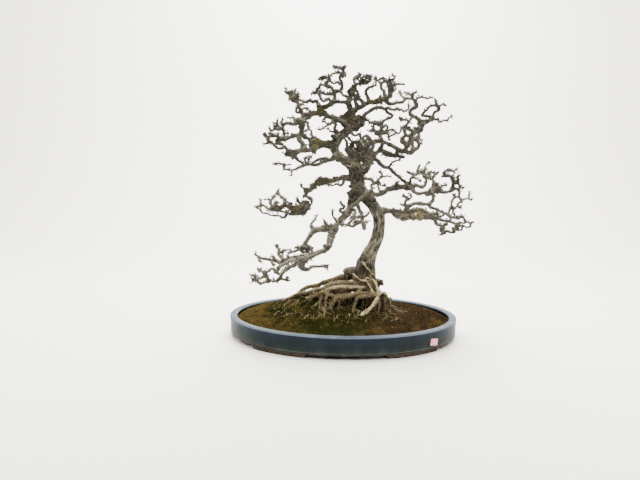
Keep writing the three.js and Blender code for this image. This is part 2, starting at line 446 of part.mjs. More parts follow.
function taper(count, start, end) {
  return Array.from({ length: count }, (_, i) => THREE.MathUtils.lerp(start, end, i / (count - 1)));
}

// The stem with only the points that bend it by more than a given distance
function keepBends({ points, radii }, distance) {
  const kept = new Set([0, points.length - 1]);
  const search = (first, last) => {
    const line = new THREE.Line3(points[first], points[last]);
    let furthest = { off: distance };
    for (let i = first + 1; i < last; i += 1) {
      const nearest = line.closestPointToPoint(points[i], true, new THREE.Vector3());
      const off = nearest.distanceTo(points[i]);
      if (off > furthest.off) furthest = { off, i };
    }
    if (furthest.off > distance) {
      kept.add(furthest.i);
      search(first, furthest.i);
      search(furthest.i, last);
    }
  };
  search(0, points.length - 1);
  const order = [...kept].sort((a, b) => a - b);
  return { points: order.map((i) => points[i]), radii: order.map((i) => radii[i]) };
}

// The tree

const grown = new Map([['trunk', {
  seen: TRUNK.map(([across, up]) => new THREE.Vector2(across, up)),
  back: TRUNK.map(([, , back]) => back),
}]]);

// Where a stem leaves the one it grows from: the nearest point of it as seen from the front
function joint(parent, target) {
  let best = { distance: Infinity };
  for (let i = 1; i < parent.seen.length; i += 1) {
    const from = parent.seen[i - 1];
    const span = parent.seen[i].clone().sub(from);
    const share = THREE.MathUtils.clamp(target.clone().sub(from).dot(span) / span.lengthSq(), 0, 1);
    const seen = from.clone().addScaledVector(span, share);
    const distance = seen.distanceTo(target);
    if (distance < best.distance) {
      best = { distance, seen, back: THREE.MathUtils.lerp(parent.back[i - 1], parent.back[i], share) };
    }
  }
  return best;
}

function grow([name, from, startRadius, endRadius, endBack, outline]) {
  const targets = outline.map(([across, up]) => new THREE.Vector2(across, up));
  const start = joint(grown.get(from), targets[0]);
  const seen = start.distance < 3 ? [start.seen, ...targets.slice(1)] : [start.seen, ...targets];
  const lengths = [0];
  for (let i = 1; i < seen.length; i += 1) {
    lengths.push(lengths[i - 1] + seen[i].distanceTo(seen[i - 1]));
  }
  const total = lengths[lengths.length - 1];
  const back = lengths.map((length) => THREE.MathUtils.lerp(start.back, endBack, length / total));
  const radii = lengths.map((length) => THREE.MathUtils.lerp(startRadius, endRadius, length / total));
  grown.set(name, { seen, back });
  const points = seen.map((p, i) => place(p.x, p.y, back[i]));
  return keepBends({ points, radii }, startRadius > 6 ? LIMB_BEND : STEM_BEND);
}

const trunk = keepBends({
  points: TRUNK.map(([across, up, back]) => place(across, up, back)),
  radii: TRUNK.map((row) => row[3]),
}, TRUNK_BEND);

const roots = ROOTS.map(([startRadius, endRadius, line]) => keepBends({
  points: line.map(([across, up, back]) => place(across, up, back)),
  radii: taper(line.length, startRadius, endRadius),
}, ROOT_BEND));

function rootSides(radius) {
  if (radius > 12) return 8;
  if (radius > 7.5) return 6;
  if (radius > 4) return 5;
  return 4;
}

// The trunk and its roots, or the room that they need in the soil
function rooted(wider) {
  const parts = roots.map((root) => stemRings(root, rootSides(root.radii[0]), { wider }));
  parts.push(stemRings(trunk, TRUNK_SIDES, { flute: FLUTE, wider }));
  return wasm.Manifold.union(parts.map((rings) => toSolid(loft(rings))));
}

function treeSolid() {
  const stems = STEMS.map(grow).map((stem) => toSolid(loft(stemRings(stem, sidesFor(stem.radii[0])))));
  return wasm.Manifold.union([rooted(0), ...stems]);
}

// The pot

function oval(inset, height, sides = POT_SIDES) {
  return Array.from({ length: sides }, (_, side) => {
    const turn = 2 * Math.PI * side / sides;
    const x = (POT_LENGTH / 2 - inset) * Math.cos(turn);
    const y = (POT_DEPTH / 2 - inset) * Math.sin(turn);
    return new THREE.Vector3(x, y, height);
  });
}

// The wall's section from the underside out, up, over the rim and down to the floor: inset and height
const POT_SECTION = [
  [WALL_FOOT_INSET + 4, UNDERSIDE], [WALL_FOOT_INSET, UNDERSIDE + 4], [1, RIM_TOP - 14], [1, RIM_TOP - 9],
  [0, RIM_TOP - 7], [0, RIM_TOP - 2], [2, RIM_TOP], [RIM_WIDTH - 1, RIM_TOP], [RIM_WIDTH + 1, RIM_TOP - 2],
  [RIM_WIDTH + 1, RIM_TOP - 6], [WALL_FOOT_INSET + 11, RIM_TOP - 12], [WALL_FOOT_INSET + 13, FLOOR_TOP + 4],
  [WALL_FOOT_INSET + 17, FLOOR_TOP],
];

// One long low foot that follows the wall between two places along the front or the back
function foot(sideX, sideY) {
  const steps = 8;
  const height = UNDERSIDE + 5;
  const halfLength = POT_LENGTH / 2 - FOOT_OUTER_INSET;
  const sections = Array.from({ length: steps + 1 }, (_, step) => {
    const x = sideX * THREE.MathUtils.lerp(FOOT_NEAR_X, FOOT_FAR_X, step / steps);
    const turn = Math.acos(x / halfLength) * sideY;
    const edge = (inset, z) => new THREE.Vector3(
      (POT_LENGTH / 2 - inset) * Math.cos(turn), (POT_DEPTH / 2 - inset) * Math.sin(turn), z,
    );
    const ring = [
      edge(FOOT_OUTER_INSET + 2, 0), edge(FOOT_OUTER_INSET, 2), edge(FOOT_OUTER_INSET, height),
      edge(FOOT_INNER_INSET, height), edge(FOOT_INNER_INSET, 0),
    ];
    return sideX * sideY > 0 ? ring : ring.reverse();
  });
  return toSolid(loft(sections));
}

function drain(sideX) {
  const hole = new THREE.CylinderGeometry(DRAIN_RADIUS, DRAIN_RADIUS, FLOOR_TOP * 2, 20);
  hole.rotateX(Math.PI / 2);
  hole.translate(sideX * DRAIN_X, 0, FLOOR_TOP);
  return toSolid(bare(hole));
}

function potSolid() {
  let pot = toSolid(loft(POT_SECTION.map(([inset, height]) => oval(inset, height))));
  for (const sideX of [-1, 1]) {
    for (const sideY of [-1, 1]) {
      pot = pot.add(foot(sideX, sideY));
    }
    pot = pot.subtract(drain(sideX));
  }
  return pot;
}

function block(width, height, x, y) {
  const geometry = new THREE.BoxGeometry(width, width, height);
  geometry.translate(x, y, SCREEN_THICKNESS / 2);
  return toSolid(bare(geometry));
}

// A square of plastic mesh over a drain hole
function screenSolid() {
  const perRow = Math.floor((SCREEN_SIZE - SCREEN_HOLE) / SCREEN_PITCH);
  const places = Array.from({ length: perRow }, (_, i) => (i - (perRow - 1) / 2) * SCREEN_PITCH);
  const holes = places.flatMap((x) => places.map((y) => block(SCREEN_HOLE, SCREEN_THICKNESS * 3, x, y)));
  return block(SCREEN_SIZE, SCREEN_THICKNESS, 0, 0).subtract(wasm.Manifold.union(holes));
}

// A small plain square stuck on the wall at the front right, a little askew. It lies flat on one
// facet of the wall.
function labelSolid() {
  const [low, high] = [POT_SECTION[1], POT_SECTION[2]].map(([inset, height]) => {
    const edge = oval(inset, height);
    return edge[LABEL_FACET].clone().lerp(edge[LABEL_FACET + 1], 0.5);
  });
  const ring = oval(WALL_FOOT_INSET, 0);
  const along = ring[LABEL_FACET + 1].clone().sub(ring[LABEL_FACET]).normalize();
  const upward = high.clone().sub(low).normalize();
  const out = along.clone().cross(upward);
  const centre = low.clone().addScaledVector(upward, LABEL_Z - low.z);
  const right = along.clone().applyAxisAngle(out, -THREE.MathUtils.degToRad(LABEL_TILT));
  const top = out.clone().cross(right);
  const face = (depth) => [[-1, -1], [1, -1], [1, 1], [-1, 1]].map(([sideways, upwards]) => (
    centre.clone().addScaledVector(right, sideways * LABEL_WIDTH / 2)
      .addScaledVector(top, upwards * LABEL_HEIGHT / 2).addScaledVector(out, depth)
  ));
  return toSolid(loft([face(GAP), face(GAP + LABEL_THICKNESS)]));
}

// The soil

// Height of the mound: a ridge under the tree and to the left of it, uneven all over
function soilHeight(x, y) {
  const spread = Math.hypot(x / (POT_LENGTH / 2 - RIM_WIDTH), y / (POT_DEPTH / 2 - RIM_WIDTH));
  const rise = Math.max(1 - spread * spread, 0) ** 0.7;
  const lean = 1 - MOUND_LEAN * x / (POT_LENGTH / 2) / MOUND_RISE;
  const lumps = 1.6 * Math.sin(x / 23 + 1.2) * Math.cos(y / 19) + 1.2 * Math.sin(x / 41 - y / 29);
  const ridge = RIDGE_RISE * Math.exp(-(((x + 60) / 130) ** 4) - ((y - 18) / 80) ** 2);
  return SOIL_AT_RIM + rise * (MOUND_RISE * lean + lumps) + ridge;
}

function soilBody() {
  const bottom = FLOOR_TOP + SCREEN_THICKNESS + 2 * GAP;
  const under = RIM_WIDTH + 1 + GAP;
  const rings = [oval(WALL_FOOT_INSET + 17 + GAP, bottom, SOIL_SIDES)];
  rings.push(oval(WALL_FOOT_INSET + 14 + GAP, bottom + 4, SOIL_SIDES));
  rings.push(oval(WALL_FOOT_INSET + 12.6 + GAP, RIM_TOP - 13, SOIL_SIDES));
  rings.push(oval(under, RIM_TOP - 7, SOIL_SIDES));
  for (let ring = 1; ring <= SOIL_RINGS; ring += 1) {
    const share = 1 - (ring / (SOIL_RINGS + 0.6)) ** 0.9;
    rings.push(oval(under, 0, SOIL_SIDES).map((p) => {
      const x = p.x * share;
      const y = p.y * share;
      return new THREE.Vector3(x, y, soilHeight(x, y));
    }));
  }
  return toSolid(loft(rings));
}

// Keeps the one outer body: closed hollows between stems are filled and loose scraps dropped
function mainBody(solid) {
  const bodies = solid.decompose();
  bodies.sort((a, b) => b.volume() - a.volume());
  return bodies[0];
}

// The object

const bonsai = new THREE.Group();

function add(name, geometry, color, roughness) {
  const mesh = new THREE.Mesh(geometry, new THREE.MeshStandardMaterial({ color, roughness }));
  mesh.name = name;
  bonsai.add(mesh);
  return mesh;
}

add('tree', toGeometry(mainBody(treeSolid())), 0x6e6554, 0.85);
add('soil', toGeometry(mainBody(soilBody().subtract(rooted(ROOT_GAP)))), 0x4f4a22, 0.95);
add('pot', toGeometry(mainBody(potSolid())), 0x3f4d5c, 0.35);
add('label', toGeometry(labelSolid()), 0xd8b8b4, 0.8);
for (const [side, sideX] of [['left', -1], ['right', 1]]) {
  const screen = add(`drain_screen_${side}`, toGeometry(screenSolid()), 0x23262a, 0.6);
  screen.position.set(sideX * DRAIN_X, 0, FLOOR_TOP + GAP);
}

// The origin is at the middle of the whole, on the plane that the feet stand on
const reach = new THREE.Box3().setFromObject(bonsai);
bonsai.position.x = -(reach.min.x + reach.max.x) / 2;

export default bonsai;
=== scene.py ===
"""A bare che tree grown as a bonsai in an oval glazed pot, dressed for a close look.

The tree's stems are the same named lengths that the solids have, with the finest spurs added. They are
read from the front in millimetres, across from the pot's middle and up from a level a little above the
ground, and each goes back along its own line of sight.
"""

import logging
import math
from collections.abc import Iterable, Sequence
from dataclasses import dataclass, field, replace
from enum import Enum

import bmesh
import bpy
import numpy as np
from mathutils import Matrix, Vector, kdtree


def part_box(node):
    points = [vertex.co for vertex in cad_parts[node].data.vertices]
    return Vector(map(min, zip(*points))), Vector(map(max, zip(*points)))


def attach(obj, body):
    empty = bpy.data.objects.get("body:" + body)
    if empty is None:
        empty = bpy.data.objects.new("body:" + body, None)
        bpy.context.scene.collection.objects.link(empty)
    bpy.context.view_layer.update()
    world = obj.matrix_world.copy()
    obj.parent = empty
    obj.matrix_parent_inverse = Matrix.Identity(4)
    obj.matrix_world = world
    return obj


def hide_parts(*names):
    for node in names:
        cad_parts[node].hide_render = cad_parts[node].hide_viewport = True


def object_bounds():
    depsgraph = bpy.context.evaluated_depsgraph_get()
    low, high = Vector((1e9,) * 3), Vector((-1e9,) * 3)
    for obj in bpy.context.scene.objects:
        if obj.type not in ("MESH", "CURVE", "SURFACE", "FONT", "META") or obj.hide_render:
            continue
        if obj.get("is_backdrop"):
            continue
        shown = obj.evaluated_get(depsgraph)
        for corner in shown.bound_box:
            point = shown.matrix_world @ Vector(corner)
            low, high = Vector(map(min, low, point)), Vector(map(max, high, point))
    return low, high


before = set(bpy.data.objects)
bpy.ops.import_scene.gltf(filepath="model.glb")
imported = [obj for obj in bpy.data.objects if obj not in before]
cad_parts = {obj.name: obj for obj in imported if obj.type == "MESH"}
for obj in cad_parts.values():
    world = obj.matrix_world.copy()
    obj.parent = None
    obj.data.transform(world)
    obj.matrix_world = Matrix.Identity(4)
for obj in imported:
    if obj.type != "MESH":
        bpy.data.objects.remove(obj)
CAD_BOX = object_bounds()

log = logging.getLogger("bonsai")

MM = 0.001

# The eye in the same millimetres as the stems, how high their zero lies, and the camera's lens and turns
EYE = np.array((-75.8, -1522.8, 445.8))
LIFT = np.array((0.0, 0.0, 4.0))
FOCAL_MM = 27.88
EYE_PITCH, EYE_YAW, EYE_ROLL = 5.93, 0.07, -0.69

Rows = tuple[tuple[float, ...], ...]
RootRow = tuple[float, float, float, Rows]
StemRow = tuple[str, str, float, float, float, Rows]
Piece = bpy.types.Object
Finish = bpy.types.Material
Draw = np.random.Generator
Array = np.ndarray
Socket = bpy.types.NodeSocket


def number_rows(text: str) -> Rows:
    """Read rows of numbers, with a comma inside a row and a blank between two."""
    return tuple(tuple(float(number) for number in row.split(",")) for row in text.split())


def root_rows(text: str) -> Iterable[RootRow]:
    """Read roots, with a semicolon between two and a bar between a root's ends and its line."""
    for root in text.split(";"):
        ends, line = root.split("|")
        start, end, pale = (float(number) for number in ends.split())
        yield start, end, pale, number_rows(line)


def stem_rows(text: str) -> Iterable[StemRow]:
    """Read stems, with a semicolon between two and a bar between a stem's own parts."""
    for stem in text.split(";"):
        name, parent, ends, line = stem.strip().split("|")
        start, end, back = (float(number) for number in ends.split())
        yield name, parent, start, end, back, number_rows(line)


# The trunk from the soil up: across, up, back and radius
TRUNK: Rows = number_rows("""
47,42,24,20 50,84,24,22 56,114,24,25 64,144,16,29 66,170,0,33 68,192,0,32.5 69,213,0,29.5 77,237,-2,25
87,259,-3,21 96,279,-4,20 103,301,-5,19 107,326,-6,18.5 107,349,-6,19 103,370,-6,20 90,392,-5,19
76,408,-4,18 60,426,-3,19.5 46,446,-2,20 37,468,0,21 37,488,0,22 40,502,2,16
""")

# Roots clear of the soil: radii at the two ends and how pale they are, then across, up and back
ROOTS: tuple[RootRow, ...] = tuple(root_rows("""
22 9 0.05|62,192,4 30,182,16 4,172,24 -22,164,30 -46,158,34;
9 4 0.15|-34,162,32 -62,154,36 -80,145,40 -106,141,42 -122,134,43 -142,116,44 -160,108,46 -178,96,47
  -196,80,48 -206,62,48;
15 11 0|58,190,-6 30,192,-12 8,192,-16;
9 4 0.55|70,156,-20 44,150,-30 18,155,-34 -12,153,-36 -42,148,-34 -62,136,-30 -84,132,-22 -106,125,-12
  -122,121,-4 -142,117,6 -162,107,14 -184,94,20 -204,72,24;
7.5 4.4 0.62|84,140,-30 54,138,-42 8,139,-47 -30,136,-45 -56,126,-38 -76,117,-28 -96,109,-18 -118,102,-8
  -140,94,0 -158,83,6 -172,66,10;
7.5 7 0.35|106,116,-56 80,121,-60 52,121,-61 32,116,-62 12,109,-63 -6,105,-64 -22,104,-64 -30,94,-66
  -36,80,-69 -42,66,-72 -46,50,-74;
6 4.6 0.35|58,127,-46 33,120,-52 10,117,-54 -12,114,-54 -28,111,-53 -42,117,-50 -58,122,-44 -78,116,-34
  -98,106,-24 -118,92,-18 -132,74,-14;
7.5 7 0.85|112,121,-58 109,106,-64 101,90,-72 90,76,-80 75,63,-88 60,50,-96 48,36,-100;
4.2 4 0.9|27,184,-22 41,171,-36 53,163,-40 68,158,-42;
4 3.6 0.9|58,220,-30 71,203,-36 83,190,-38 94,176,-34;
4 4 0.9|60,163,-40 72,160,-39 79,149,-45 86,137,-50 96,124,-56 108,116,-60;
4.2 5 0.9|70,168,-38 88,166,-38 99,156,-43 105,140,-51 110,127,-57 112,118,-60;
11 8.5 0|82,158,2 100,161,-4 112,156,-8;
10 9 0.05|74,150,0 98,132,-26 114,123,-38 130,118,-38;
4.4 3.4 0.85|108,120,-54 125,123,-54 137,112,-52 146,99,-52 148,86,-52 147,72,-52 149,57,-52 150,42,-52;
4 3 0.45|-46,122,-46 -53,104,-66 -55,84,-86 -57,64,-102 -58,46,-112 -58,30,-116;
2.8 2.4 0.5|-62,124,-36 -70,102,-46 -72,84,-60 -73,66,-72 -74,48,-78;
5.4 4.6 0.45|110,113,-60 94,114,-64 78,111,-67 61,109,-69 45,105,-71 39,90,-74 35,74,-78 33,58,-82 32,42,-84;
4 3 0.3|-62,104,-40 -80,88,-52 -98,75,-58 -118,64,-58 -132,50,-54;
11 5 0.1|74,172,16 96,148,44 112,124,66 126,104,84 136,86,96 142,66,104;
9 4.4 0.2|44,160,26 14,142,50 -14,124,70 -42,110,84 -66,92,96 -84,72,104;
10 5 0.15|60,150,24 56,130,56 48,114,84 42,96,106 38,74,120;
7 4 0.2|70,158,4 90,134,6 114,112,18 138,94,28 160,76,34 174,56,38
"""))

# Dark roots that fill the tangle behind the pale ones
BACK_ROOTS: tuple[RootRow, ...] = tuple(root_rows("""
10 5 0.02|44,152,30 4,140,34 -36,130,36 -78,120,38 -118,108,38 -158,94,36 -188,76,32;
9 5 0.05|46,140,8 6,128,14 -34,122,18 -76,112,20 -114,99,22 -148,80,20;
8 5 0.05|70,140,26 96,118,30 120,100,34 146,82,34 170,62,30;
7 5 0.02|82,132,2 97,116,-4 104,98,-8 112,78,-14;
7 5 0.04|26,138,-8 8,122,-16 -6,106,-22 -16,84,-28;
7 5 0.02|58,132,-6 50,114,-14 42,98,-20 36,78,-26;
6 4 0.06|-16,140,4 -42,127,-2 -64,112,-8 -84,92,-12;
6 4 0.02|8,132,4 -16,116,0 -34,100,-4 -50,82,-8;
6 4 0.04|-60,134,14 -84,118,10 -104,104,6 -124,84,2;
5 4 0.05|104,122,-20 120,106,-24 130,92,-24 138,72,-26
"""))

